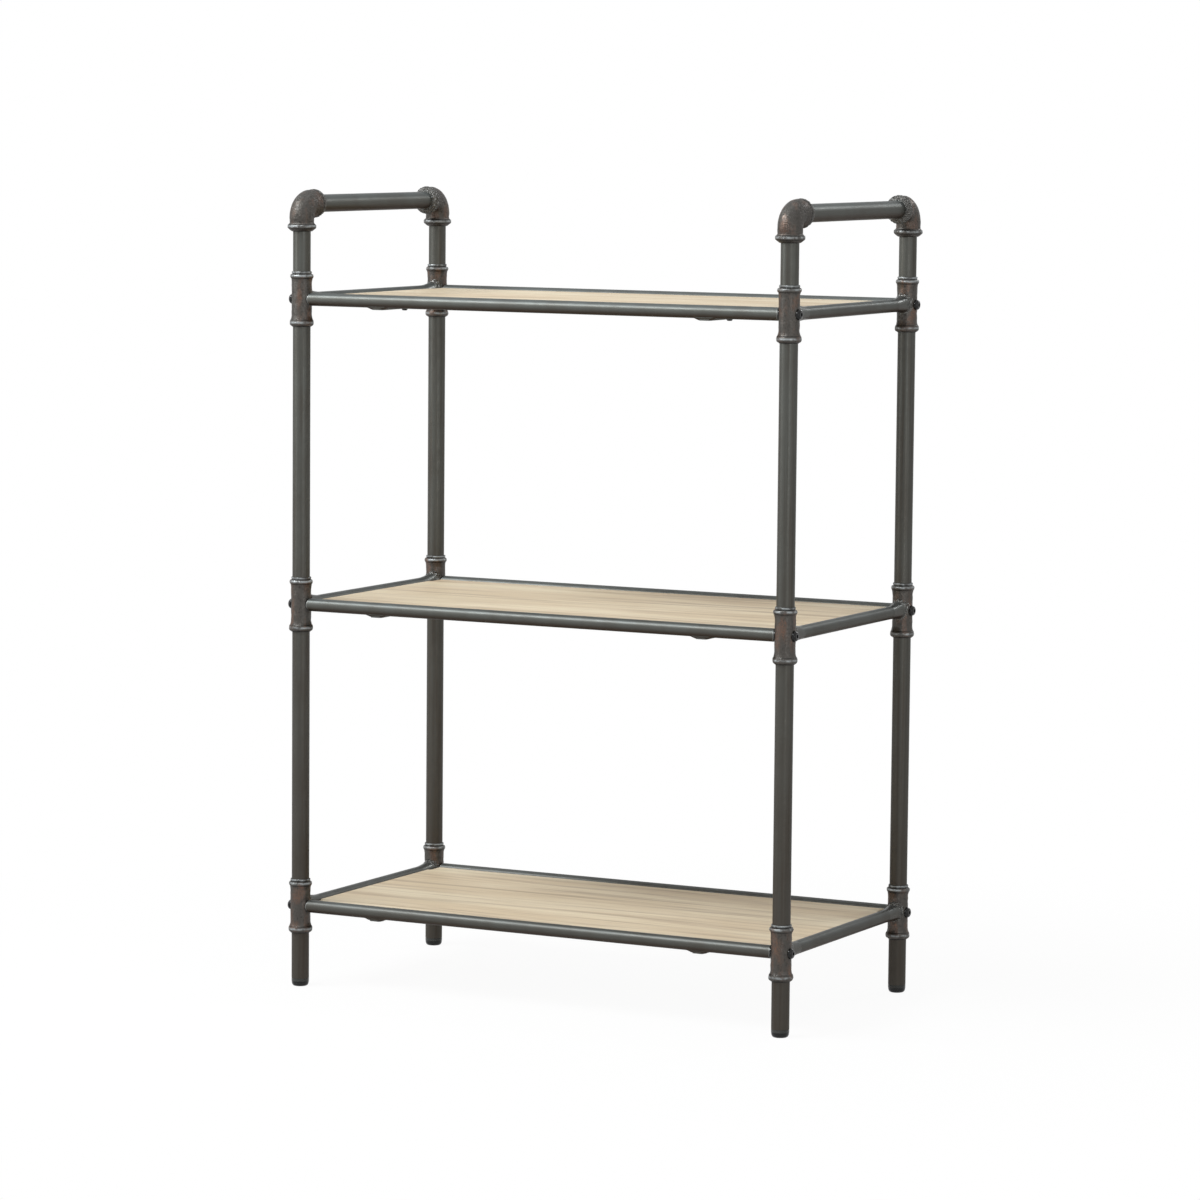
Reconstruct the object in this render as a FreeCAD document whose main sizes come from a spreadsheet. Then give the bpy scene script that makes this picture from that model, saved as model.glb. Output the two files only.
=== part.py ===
"""Three-tier shelving unit of round pipe, cast tees and elbows, and wooden boards.

Frame: millimetres, origin on the floor under the middle of the unit, +X to the
right seen from the front, +Y to the back, +Z up.
"""

import FreeCAD, Part
import os
import re

import Sketcher

# ---------------------------------------------------------------- driving sizes
SIZES = {
    # plan and levels
    "post_spacing_x": 670,  # between post axes, side to side
    "post_spacing_y": 340,  # between post axes, front to back
    "bottom_level": 102,  # axis of the lowest rails above the floor
    "level_spacing": 381,  # from one shelf level to the next
    "handle_rise": 118,  # from the top level to the axis of the handle bars
    # tubes
    "post_diameter": 22,
    "post_wall": 1.5,
    "rail_diameter": 16,
    "rail_wall": 1.2,
    "socket_clearance": 0.05,  # radial, tube in a socket
    # tee: barrel, sockets and beads, measured from the rail axis
    "tee_rise": 34.5,
    "tee_drop": 34,
    "tee_diameter": 25.2,
    "tee_bore": 18,
    "tee_end_taper": 0.5,
    "tee_socket_depth": 22,
    "upper_bead_rise": 28.5,
    "upper_bead_diameter": 29,
    "upper_bead_height": 4.8,
    "lower_bead_drop": 29.5,
    "lower_bead_diameter": 30,
    "lower_bead_height": 6.2,
    "bead_shoulder": 1.1,  # how far inside the bead's crown its flare starts
    "bead_flare": 6,  # height over which the barrel widens to the bead
    "bead_flare_hollow": 0.3,  # how far the flare's middle stands off the barrel
    "lip_diameter": 25,
    "lip_height": 2.4,
    # tee: branch that carries the side rail on a spigot
    "branch_reach": 34,  # from the post axis to the shoulder the rail meets
    "branch_root_diameter": 20.6,  # at the post axis
    "branch_root_fillet": 2.5,
    "branch_bore": 8,
    "spigot_length": 12,
    "spigot_clearance": 0.05,  # radial, spigot in the rail
    # elbow
    "elbow_bend_radius": 18,
    "elbow_land": 1,  # straight passage between the bend and a socket
    "elbow_diameter": 30,
    "elbow_bore": 18,
    "elbow_socket_depth": 15,
    "elbow_bead_diameter": 36,
    "elbow_bead_inset": 6,  # from the mouth to the bead's crown
    "elbow_bead_height": 4.8,
    "elbow_bead_shoulder": 0.9,
    "elbow_bead_flare": 3,
    "elbow_flare_hollow": 0.5,  # how far the flare's middle stands off the body
    "elbow_mouth_diameter": 24.6,
    # foot glide
    "foot_height": 10,
    "foot_tread_diameter": 15,
    "foot_round": 5,  # height of the rounded lower edge
    "foot_round_out": 0.72,  # middle of the rounding, as a share of its width
    "foot_round_up": 0.3,  # middle of the rounding, as a share of its height
    "foot_step": 0.25,  # the lower half is this much smaller
    "foot_recess_diameter": 8,
    "foot_recess_depth": 2,
    "foot_plug_length": 16,
    "foot_plug_taper": 2.5,  # length of the tapered tip
    "foot_tip_step": 0.8,  # radial, what the tip loses over its taper
    "foot_plug_clearance": 0.1,
    # rail bolt, its saddle washer and the threaded plug in the rail
    "bolt_diameter": 6,
    "bolt_length": 40,
    "bolt_hole_clearance": 0.3,
    "bolt_head_diameter": 12.8,
    "bolt_head_height": 4.6,
    "bolt_rim_height": 0.9,
    "bolt_crown_diameter": 7,  # flat round the hexagon
    "bolt_dome_along": 0.66,  # middle of the dome, as a share of its height
    "bolt_dome_across": 0.86,  # middle of the dome, as a share of its radius
    "bolt_hex": 4,  # across flats
    "bolt_hex_depth": 2.6,
    "spot_depth": 0.8,  # flat seat for the head in the tee's barrel
    "spot_clearance": 0.4,
    "washer_thickness": 1.5,
    "washer_step": 0.7,  # radial, washer inside the rail's outline
    "plug_inset": 17,  # from the post axis to the plug
    "plug_length": 24,
    "plug_clearance": 0.05,
    "thread_clearance": 0.05,
    # board, straps and shelf screws
    "board_thickness": 12,
    "board_gap": 1.5,  # board edge to rail
    "board_edge_chamfer": 0.6,
    "notch_clearance": 1.2,  # board to tee barrel
    "notch_round": 3,
    "strap_width": 15,
    "strap_thickness": 2.5,
    "strap_overhang": 4,  # past the rail axis
    "strap_corner": 3,
    "strap_offset": 225,  # strap centre from the middle of the unit
    "screw_inset": 65,  # screw from the rail axis
    "screw_diameter": 4,
    "screw_hole_clearance": 0.2,
    "screw_bite": 9,  # how deep a screw goes into the board
    "pilot_spare": 1,  # how far its pilot hole goes past the tip
    "screw_head_diameter": 7.6,
    "screw_head_height": 2.6,
    "screw_dome_across": 0.8,  # middle of the dome, as a share of its radius
    "screw_dome_along": 0.7,  # middle of the dome, as a share of its height
}

# ------------------------------------------- places and sizes that follow them
PLACES = {
    "half_span": "post_spacing_x / 2",
    "half_depth": "post_spacing_y / 2",
    "middle_level": "bottom_level + level_spacing",
    "top_level": "bottom_level + 2 * level_spacing",
    "handle_height": "top_level + handle_rise",
    "post_radius": "post_diameter / 2",
    "rail_radius": "rail_diameter / 2",
    "rail_bore_radius": "rail_radius - rail_wall",
    "post_socket_radius": "post_radius + socket_clearance",
    "tee_radius": "tee_diameter / 2",
    "tee_end_radius": "tee_radius - tee_end_taper",
    "tee_top_seat": "tee_rise - tee_socket_depth",
    "tee_bottom_seat": "tee_drop - tee_socket_depth",
    "upper_shoulder_radius": "upper_bead_diameter / 2 - bead_shoulder",
    "lower_shoulder_radius": "lower_bead_diameter / 2 - bead_shoulder",
    "upper_flare_start": "upper_bead_rise - upper_bead_height / 2 - bead_flare",
    "lower_flare_start": "lower_bead_drop - lower_bead_height / 2 - bead_flare",
    "lip_radius": "lip_diameter / 2",
    "branch_root_radius": "branch_root_diameter / 2",
    "spigot_radius": "rail_bore_radius - spigot_clearance",
    "spigot_end": "branch_reach + spigot_length",
    "elbow_radius": "elbow_diameter / 2",
    "elbow_seat": "elbow_bend_radius + elbow_land",
    "elbow_reach": "elbow_seat + elbow_socket_depth",
    "elbow_crown": "elbow_reach - elbow_bead_inset",
    "elbow_bead_radius": "elbow_bead_diameter / 2",
    "elbow_shoulder_radius": "elbow_bead_radius - elbow_bead_shoulder",
    "cope_radius": "tee_radius + washer_thickness",
    "bolt_radius": "bolt_diameter / 2",
    "bolt_hole_radius": "bolt_radius + bolt_hole_clearance",
    "bolt_head_radius": "bolt_head_diameter / 2",
    "bolt_seat": "half_span + tee_radius - spot_depth",
    "strap_underside": "rail_radius + strap_thickness",
    "screw_row": "half_depth - screw_inset",
    "screw_radius": "screw_diameter / 2",
    "board_half_length": "half_span - rail_radius - board_gap",
    "board_half_width": "half_depth - rail_radius - board_gap",
    "foot_plug_radius": "post_radius - post_wall - foot_plug_clearance",
}

LEVELS = {"bottom": "bottom_level", "middle": "middle_level", "top": "top_level"}
SIDES = {"left": "-", "right": ""}
DEPTHS = {"front": "-", "rear": ""}
WORD = re.compile(r"[a-z][a-z_]*")

doc = FreeCAD.newDocument("PipeShelf")
sheet = doc.addObject("Spreadsheet::Sheet", "dims")


def fill_sheet():
    """Writes the driving sizes to the sheet: name, value and alias, a row each."""
    for row, (name, size) in enumerate(SIZES.items(), start=1):
        sheet.set(f"A{row}", name)
        sheet.set(f"B{row}", str(size))
        sheet.setAlias(f"B{row}", name)
    doc.recompute()


def linked(expression):
    """Spells named sizes and places in an expression as cells of the sheet."""

    def spell(match):
        word = match.group()
        if word in PLACES:
            return f"({linked(PLACES[word])})"
        return f"dims.{word}" if word in SIZES else word

    return WORD.sub(spell, expression)


def value(expression):
    """The number that an expression of named sizes gives now."""
    return float(sheet.evalExpression(linked(expression)))


def vector(x, y):
    """A sketch point from two expressions."""
    return FreeCAD.Vector(value(x), value(y), 0)


# ------------------------------------------------------------- sketch building
def new_body(label):
    """An empty body whose label names its file."""
    body = doc.addObject("PartDesign::Body", label)
    body.Label = label
    return body


def place(body, x="0", y="0", z="0", half_turn=False):
    """Puts a body at a point given by expressions, turned half round Z or not."""
    if half_turn:
        body.Placement.Rotation = FreeCAD.Rotation(FreeCAD.Vector(0, 0, 1), 180)
    for axis, expression in zip("xyz", (x, y, z)):
        body.setExpression(f"Placement.Base.{axis}", linked(expression))


def origin_plane(body, role):
    """One of a body's own origin planes."""
    return next(f for f in body.Origin.OriginFeatures if f.Role == role)


def new_sketch(body, name, role, lift="0"):
    """A sketch on an origin plane, lifted along that plane's normal."""
    sketch = body.newObject("Sketcher::SketchObject", name)
    sketch.AttachmentSupport = [(origin_plane(body, role), "")]
    sketch.MapMode = "FlatFace"
    sketch.setExpression("AttachmentOffset.Base.z", linked(lift))
    return sketch


def bind(sketch, name, constraint, expression):
    """Adds a named constraint whose value follows an expression."""
    index = sketch.addConstraint(constraint)
    sketch.renameConstraint(index, name)
    sketch.setExpression(f"Constraints.{name}", linked(expression))


def fix_point(sketch, geometry, end, x, y):
    """Holds one point of a sketch geometry at (x, y), both expressions."""
    name = f"point_{geometry}_{end}"
    h_axis, v_axis = -1, -2
    if x == "0":
        sketch.addConstraint(Sketcher.Constraint("PointOnObject", geometry, end, v_axis))
    else:
        across = Sketcher.Constraint("DistanceX", -1, 1, geometry, end, value(x))
        bind(sketch, f"{name}_across", across, x)
    if y == "0":
        sketch.addConstraint(Sketcher.Constraint("PointOnObject", geometry, end, h_axis))
    else:
        up = Sketcher.Constraint("DistanceY", -1, 1, geometry, end, value(y))
        bind(sketch, f"{name}_up", up, y)


def add_circle(sketch, radius, x="0", y="0"):
    """A circle with its centre and radius bound to expressions."""
    circle = Part.Circle(vector(x, y), FreeCAD.Vector(0, 0, 1), value(radius))
    index = sketch.addGeometry(circle)
    fix_point(sketch, index, 3, x, y)
    limit = Sketcher.Constraint("Radius", index, value(radius))
    bind(sketch, f"circle_{index}_radius", limit, radius)


def add_arc(sketch, start, through, end):
    """A three-point arc; gives its index and which of its ends is the start."""
    points = [vector(*start), vector(*through), vector(*end)]
    turn = (points[1] - points[0]).cross(points[2] - points[1]).z
    if turn < 0:
        points.reverse()
    index = sketch.addGeometry(Part.Arc(*points))
    marker = sketch.addGeometry(Part.Point(vector(*through)), True)
    fix_point(sketch, marker, 1, *through)
    sketch.addConstraint(Sketcher.Constraint("PointOnObject", marker, 1, index))
    return index, (1, 2) if turn > 0 else (2, 1)


def add_outline(sketch, *corners):
    """A closed outline of lines and arcs.

    A corner is (x, y), or (x, y, (via_x, via_y)) where an arc through that
    point leads to the corner from the one before.
    """
    edges = []
    for index, corner in enumerate(corners):
        last = corners[index - 1]
        if len(corner) == 3:
            edges.append(add_arc(sketch, last[:2], corner[2], corner[:2]))
        else:
            line = Part.LineSegment(vector(*last[:2]), vector(*corner))
            edges.append((sketch.addGeometry(line), (1, 2)))
    for index, (edge, (start, end)) in enumerate(edges):
        next_edge, (next_start, _) = edges[(index + 1) % len(edges)]
        meet = Sketcher.Constraint("Coincident", edge, end, next_edge, next_start)
        sketch.addConstraint(meet)
        fix_point(sketch, edge, end, *corners[index][:2])


def add_axis(sketch, start, end):
    """A construction line that a revolution can turn about."""
    line = sketch.addGeometry(Part.LineSegment(vector(*start), vector(*end)), True)
    fix_point(sketch, line, 1, *start)
    fix_point(sketch, line, 2, *end)


# ------------------------------------------------------------ feature building
def extrude(body, kind, name, sketch, length=None, symmetric=False, reverse=False):
    """A Pad or Pocket of a sketch; with no length it goes through all."""
    feature = body.newObject(f"PartDesign::{kind}", name)
    feature.Profile = sketch
    feature.SideType = "Symmetric" if symmetric else "One side"
    feature.Reversed = reverse
    if length is None:
        feature.Type = "ThroughAll"
    else:
        feature.Type = "Length"
        feature.setExpression("Length", linked(length))
    return feature


def turn(body, kind, name, sketch, axis, angle=360):
    """A Revolution or Groove of a sketch about one of its own axes."""
    feature = body.newObject(f"PartDesign::{kind}", name)
    feature.Profile = sketch
    feature.ReferenceAxis = (sketch, [axis])
    feature.Angle = angle
    return feature


def dress(body, kind, name, base, chosen, size):
    """A Fillet or Chamfer on the edges of base that chosen(edge) picks."""
    doc.recompute()
    edges = [f"Edge{n}" for n, edge in enumerate(base.Shape.Edges, start=1) if chosen(edge)]
    if not edges:
        raise ValueError(f"{body.Label}: {name} has no edges")
    feature = body.newObject(f"PartDesign::{kind}", name)
    feature.Base = (base, edges)
    size_name = "Radius" if kind == "Fillet" else "Size"
    feature.setExpression(size_name, linked(size))
    return feature


def mirrored(body, name, role):
    """A mirror step across one of the body's origin planes."""
    step = doc.addObject("PartDesign::Mirrored", f"{body.Label}_{name}")
    step.MirrorPlane = (origin_plane(body, role), [""])
    return step


def at_every_joint(body, *features):
    """Repeats features at both sides, front and back, on all three levels."""
    doc.recompute()
    levels = doc.addObject("PartDesign::LinearPattern", f"{body.Label}_levels")
    levels.Direction = (features[0].Profile[0], ["V_Axis"])
    levels.setExpression("Length", linked("2 * level_spacing"))
    levels.Occurrences = len(LEVELS)
    steps = body.newObject("PartDesign::MultiTransform", f"{body.Label}_pattern")
    steps.Originals = list(features)
    steps.Transformations = [
        mirrored(body, "sides", "YZ_Plane"),
        mirrored(body, "depths", "XZ_Plane"),
        levels,
    ]
    body.Tip = steps


# ------------------------------------------------------------------------ tubes
def tube(label, radius, wall, role, length, symmetric):
    """A round tube along the normal of an origin plane."""
    body = new_body(label)
    section = new_sketch(body, f"{label}_section", role)
    add_circle(section, radius)
    add_circle(section, f"{radius} - {wall}")
    extrude(body, "Pad", f"{label}_wall", section, length, symmetric)
    return body


def post_section(label, x, y, low, high):
    """A length of post pipe between two heights."""
    body = tube(label, "post_radius", "post_wall", "XY_Plane", f"{high} - ({low})", False)
    place(body, x, y, low)


def post_sections(corner, x, y):
    """The four lengths of pipe that one post is made of, seat to seat."""
    above = "tee_top_seat"
    below = "tee_bottom_seat"
    post_section(f"{corner}_leg_pipe", x, y, "foot_height", f"bottom_level - {below}")
    post_section(
        f"{corner}_lower_post", x, y, f"bottom_level + {above}", f"middle_level - {below}"
    )
    post_section(
        f"{corner}_upper_post", x, y, f"middle_level + {above}", f"top_level - {below}"
    )
    post_section(
        f"{corner}_top_nipple", x, y, f"top_level + {above}", "handle_height - elbow_seat"
    )


def handle_bar(side, x):
    """The bar between the two elbows of one end."""
    length = "post_spacing_y - 2 * elbow_seat"
    body = tube(f"{side}_handle_bar", "post_radius", "post_wall", "XZ_Plane", length, True)
    place(body, x, "0", "handle_height")


def side_rail(side, x, level):
    """The rail between the shoulders of a front and a rear tee."""
    length = "post_spacing_y - 2 * branch_reach"
    label = f"{side}_{level}_side_rail"
    body = tube(label, "rail_radius", "rail_wall", "XZ_Plane", length, True)
    place(body, x, "0", LEVELS[level])


def long_rail(depth, y, level):
    """A rail along the shelf, coped round the tees at both ends."""
    label = f"{depth}_{level}_rail"
    body = tube(label, "rail_radius", "rail_wall", "YZ_Plane", "post_spacing_x", True)
    cope = new_sketch(body, f"{label}_cope", "XY_Plane")
    for side in SIDES.values():
        add_circle(cope, "cope_radius", f"{side}half_span")
    extrude(body, "Pocket", f"{label}_coped_ends", cope, symmetric=True)
    place(body, "0", y, LEVELS[level])


# -------------------------------------------------------------------------- tee
def tee_barrel(body, label):
    """The upright barrel: lip ring, upper bead, waist and lower bead."""
    profile = new_sketch(body, f"{label}_profile", "YZ_Plane")
    upper_foot = "upper_bead_rise + upper_bead_height / 2"
    upper_shoulder = "upper_bead_rise - upper_bead_height / 2"
    lower_foot = "-lower_bead_drop - lower_bead_height / 2"
    lower_shoulder = "-lower_bead_drop + lower_bead_height / 2"
    waist = "tee_radius + bead_flare_hollow"
    add_outline(
        profile,
        ("0", "-tee_drop"),
        ("tee_end_radius", "-tee_drop"),
        ("tee_end_radius", lower_foot),
        (
            "lower_shoulder_radius",
            lower_shoulder,
            ("lower_bead_diameter / 2", "-lower_bead_drop"),
        ),
        (
            "tee_radius",
            "-lower_flare_start",
            (waist, "-lower_flare_start - bead_flare / 2"),
        ),
        ("tee_radius", "upper_flare_start"),
        (
            "upper_shoulder_radius",
            upper_shoulder,
            (waist, "upper_flare_start + bead_flare / 2"),
        ),
        (
            "tee_end_radius",
            upper_foot,
            ("upper_bead_diameter / 2", "upper_bead_rise"),
        ),
        ("tee_end_radius", "tee_rise - lip_height"),
        (
            "tee_end_radius",
            "tee_rise",
            ("lip_radius", "tee_rise - lip_height / 2"),
        ),
        ("0", "tee_rise"),
    )
    turn(body, "Revolution", f"{label}_barrel", profile, "V_Axis")


def tee_branch(body, label):
    """The branch: tapers to the rail's own diameter, then a spigot fills the rail."""
    profile = new_sketch(body, f"{label}_branch_profile", "YZ_Plane")
    add_outline(
        profile,
        ("0", "0"),
        ("spigot_end", "0"),
        ("spigot_end", "spigot_radius"),
        ("branch_reach", "spigot_radius"),
        ("branch_reach", "rail_radius"),
        ("0", "branch_root_radius"),
    )
    branch = turn(body, "Revolution", f"{label}_branch", profile, "H_Axis")

    def on_root_seam(edge):
        on_barrel = all(
            abs((point.x**2 + point.y**2) ** 0.5 - value("tee_radius")) < 0.01
            for point in edge.discretize(5)
        )
        return on_barrel and edge.BoundBox.YMin > 0

    dress(body, "Fillet", f"{label}_root_fillet", branch, on_root_seam, "branch_root_fillet")


def tee_bores(body, label, outer):
    """Sockets, passages, bolt hole and the bolt's flat seat."""
    run = new_sketch(body, f"{label}_run_section", "YZ_Plane")
    add_outline(
        run,
        ("0", "-tee_drop"),
        ("post_socket_radius", "-tee_drop"),
        ("post_socket_radius", "-tee_bottom_seat"),
        ("tee_bore / 2", "-tee_bottom_seat"),
        ("tee_bore / 2", "tee_top_seat"),
        ("post_socket_radius", "tee_top_seat"),
        ("post_socket_radius", "tee_rise"),
        ("0", "tee_rise"),
    )
    turn(body, "Groove", f"{label}_run_bore", run, "V_Axis")
    side = new_sketch(body, f"{label}_side_section", "YZ_Plane")
    add_outline(
        side,
        ("0", "0"),
        ("spigot_end", "0"),
        ("spigot_end", "branch_bore / 2"),
        ("0", "branch_bore / 2"),
    )
    turn(body, "Groove", f"{label}_side_bore", side, "H_Axis")
    bolt_hole = new_sketch(body, f"{label}_bolt_circle", "YZ_Plane")
    add_circle(bolt_hole, "bolt_hole_radius")
    extrude(body, "Pocket", f"{label}_bolt_hole", bolt_hole, symmetric=True)
    seat = new_sketch(
        body, f"{label}_seat_circle", "YZ_Plane", f"{outer}(tee_radius - spot_depth)"
    )
    add_circle(seat, "bolt_head_radius + spot_clearance")
    extrude(
        body, "Pocket", f"{label}_bolt_seat", seat, "tee_radius", reverse=outer != "-"
    )


def tee(corner, x, y, level, side, depth):
    """A cast tee: post sockets above and below, a branch for the side rail."""
    label = f"{corner}_{level}_tee"
    rear = depth == "rear"
    # a rear tee is turned half round, so its outer side is the other one
    outer = "-" if (side == "left") != rear else ""
    body = new_body(label)
    tee_barrel(body, label)
    tee_branch(body, label)
    tee_bores(body, label, outer)
    place(body, x, y, LEVELS[level], half_turn=rear)


# ------------------------------------------------------------------------ elbow
def elbow_bead(sketch, downward):
    """The band round an elbow's mouth, down the leg or along the arm."""
    rise = "elbow_crown - elbow_bead_height / 2"
    fall = "elbow_crown + elbow_bead_height / 2"
    flare_start = f"{rise} - elbow_bead_flare"
    flare_middle = f"{rise} - elbow_bead_flare / 3"

    def spot(radial, axial):
        return (radial, f"-({axial})") if downward else (axial, radial)

    add_outline(
        sketch,
        spot("0", flare_start),
        spot("elbow_radius", flare_start),
        (
            *spot("elbow_shoulder_radius", rise),
            spot("elbow_radius + elbow_flare_hollow", flare_middle),
        ),
        (*spot("elbow_shoulder_radius", fall), spot("elbow_bead_radius", "elbow_crown")),
        spot("elbow_mouth_diameter / 2", "elbow_reach"),
        spot("0", "elbow_reach"),
    )


def elbow(corner, x, y, rear):
    """A cast elbow from a post's top to the handle bar, with banded mouths."""
    label = f"{corner}_elbow"
    body = new_body(label)
    socket = "post_socket_radius"
    bore = "elbow_bore / 2"
    leg = new_sketch(body, f"{label}_leg_circle", "XY_Plane", "-elbow_crown")
    add_circle(leg, "elbow_radius")
    extrude(body, "Pad", f"{label}_leg", leg, "elbow_crown - elbow_bend_radius")
    arm = new_sketch(body, f"{label}_arm_circle", "XZ_Plane", "-elbow_crown")
    add_circle(arm, "elbow_radius")
    extrude(body, "Pad", f"{label}_arm", arm, "elbow_crown - elbow_bend_radius")
    bend(body, f"{label}_bend", "Revolution", "elbow_radius")
    leg_band = new_sketch(body, f"{label}_leg_band", "YZ_Plane")
    elbow_bead(leg_band, downward=True)
    turn(body, "Revolution", f"{label}_leg_bead", leg_band, "V_Axis")
    arm_band = new_sketch(body, f"{label}_arm_band", "YZ_Plane")
    elbow_bead(arm_band, downward=False)
    turn(body, "Revolution", f"{label}_arm_bead", arm_band, "H_Axis")
    bend(body, f"{label}_passage", "Groove", bore)
    down = new_sketch(body, f"{label}_lower_section", "YZ_Plane")
    add_outline(
        down,
        ("0", "-elbow_reach"),
        (socket, "-elbow_reach"),
        (socket, "-elbow_seat"),
        (bore, "-elbow_seat"),
        (bore, "-elbow_bend_radius"),
        ("0", "-elbow_bend_radius"),
    )
    turn(body, "Groove", f"{label}_lower_socket", down, "V_Axis")
    back = new_sketch(body, f"{label}_rear_section", "YZ_Plane")
    add_outline(
        back,
        ("elbow_reach", "0"),
        ("elbow_reach", socket),
        ("elbow_seat", socket),
        ("elbow_seat", bore),
        ("elbow_bend_radius", bore),
        ("elbow_bend_radius", "0"),
    )
    turn(body, "Groove", f"{label}_rear_socket", back, "H_Axis")
    place(body, x, y, "handle_height", half_turn=rear)


def bend(body, name, kind, radius):
    """A quarter ring of round section between an elbow's leg and arm."""
    section = new_sketch(body, f"{name}_circle", "XY_Plane", "-elbow_bend_radius")
    add_circle(section, radius)
    add_axis(section, ("-elbow_reach", "elbow_bend_radius"), ("elbow_reach", "elbow_bend_radius"))
    feature = turn(body, kind, name, section, "Axis0", 90)
    feature.Reversed = True


# ------------------------------------------------------------------------- foot
def foot(corner, x, y):
    """A plastic glide: rounded tread, step ring and a plug up the pipe."""
    label = f"{corner}_foot"
    body = new_body(label)
    profile = new_sketch(body, f"{label}_profile", "YZ_Plane")
    tread_radius = "foot_tread_diameter / 2"
    lower_radius = "post_radius - foot_step"
    tip_radius = "foot_plug_radius - foot_tip_step"
    plug_top = "foot_height + foot_plug_length"
    round_middle = f"{tread_radius} + ({lower_radius} - {tread_radius}) * foot_round_out"
    add_outline(
        profile,
        ("0", "foot_recess_depth"),
        ("foot_recess_diameter / 2", "foot_recess_depth"),
        ("foot_recess_diameter / 2", "0"),
        (tread_radius, "0"),
        (lower_radius, "foot_round", (round_middle, "foot_round * foot_round_up")),
        ("post_radius", "foot_round + foot_step"),
        ("post_radius", "foot_height"),
        ("foot_plug_radius", "foot_height"),
        ("foot_plug_radius", f"{plug_top} - foot_plug_taper"),
        (tip_radius, plug_top),
        ("0", plug_top),
    )
    turn(body, "Revolution", f"{label}_glide", profile, "V_Axis")
    place(body, x, y)


# ------------------------------------------------------------- rail bolt groups
def rail_bolts():
    """Dome-head hex-socket bolts through the tees into the rail ends."""
    body = new_body("rail_bolts")
    height = "bottom_level"
    profile = new_sketch(body, "rail_bolts_profile", "XZ_Plane", "half_depth")
    tip = "bolt_seat - bolt_length"
    rim = "bolt_seat + bolt_rim_height"
    top = "bolt_seat + bolt_head_height"
    edge = f"{height} + bolt_head_radius"
    shank = f"{height} + bolt_radius"
    dome_along = f"{rim} + (bolt_head_height - bolt_rim_height) * bolt_dome_along"
    dome_across = f"{height} + bolt_head_radius * bolt_dome_across"
    add_outline(
        profile,
        (tip, height),
        (top, height),
        (top, f"{height} + bolt_crown_diameter / 2"),
        (rim, edge, (dome_along, dome_across)),
        ("bolt_seat", edge),
        ("bolt_seat", shank),
        (tip, shank),
    )
    add_axis(profile, (tip, height), (top, height))
    blank = turn(body, "Revolution", "rail_bolts_blank", profile, "Axis0")
    hexagon = new_sketch(body, "rail_bolts_hexagon", "YZ_Plane", top)
    point = "bolt_hex / sqrt(3)"
    corners = [
        (point, "0"),
        (f"{point} / 2", "bolt_hex / 2"),
        (f"-{point} / 2", "bolt_hex / 2"),
        (f"-{point}", "0"),
        (f"-{point} / 2", "-bolt_hex / 2"),
        (f"{point} / 2", "-bolt_hex / 2"),
    ]
    add_outline(hexagon, *((f"-half_depth + ({y})", f"{height} + ({z})") for y, z in corners))
    socket = extrude(body, "Pocket", "rail_bolts_socket", hexagon, "bolt_hex_depth")
    at_every_joint(body, blank, socket)


def saddle_washers():
    """Black rings between tee and rail, hollow on both sides round the post."""
    body = new_body("saddle_washers")
    disc = new_sketch(body, "saddle_washers_disc", "YZ_Plane", "half_span - 2 * tee_radius")
    add_circle(disc, "rail_radius - washer_step", "-half_depth", "bottom_level")
    add_circle(disc, "bolt_hole_radius", "-half_depth", "bottom_level")
    blank = extrude(body, "Pad", "saddle_washers_blank", disc, "2 * tee_radius")
    barrel = new_sketch(body, "saddle_washers_barrel", "XY_Plane")
    add_circle(barrel, "tee_radius", "half_span", "-half_depth")
    hollow = extrude(body, "Pocket", "saddle_washers_hollow", barrel, symmetric=True)
    rail_end = new_sketch(body, "saddle_washers_rail_end", "XY_Plane")
    add_circle(rail_end, "cope_radius", "half_span", "-half_depth")
    add_circle(rail_end, "2 * cope_radius", "half_span", "-half_depth")
    crown = extrude(body, "Pocket", "saddle_washers_crown", rail_end, symmetric=True)
    at_every_joint(body, blank, hollow, crown)


def threaded_plugs():
    """Threaded plugs fixed inside the rail ends, where the bolts bite."""
    body = new_body("threaded_plugs")
    section = new_sketch(
        body, "threaded_plugs_section", "YZ_Plane", "half_span - plug_inset - plug_length"
    )
    add_circle(section, "rail_bore_radius - plug_clearance", "-half_depth", "bottom_level")
    add_circle(section, "bolt_radius + thread_clearance", "-half_depth", "bottom_level")
    blank = extrude(body, "Pad", "threaded_plugs_blank", section, "plug_length")
    at_every_joint(body, blank)


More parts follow.
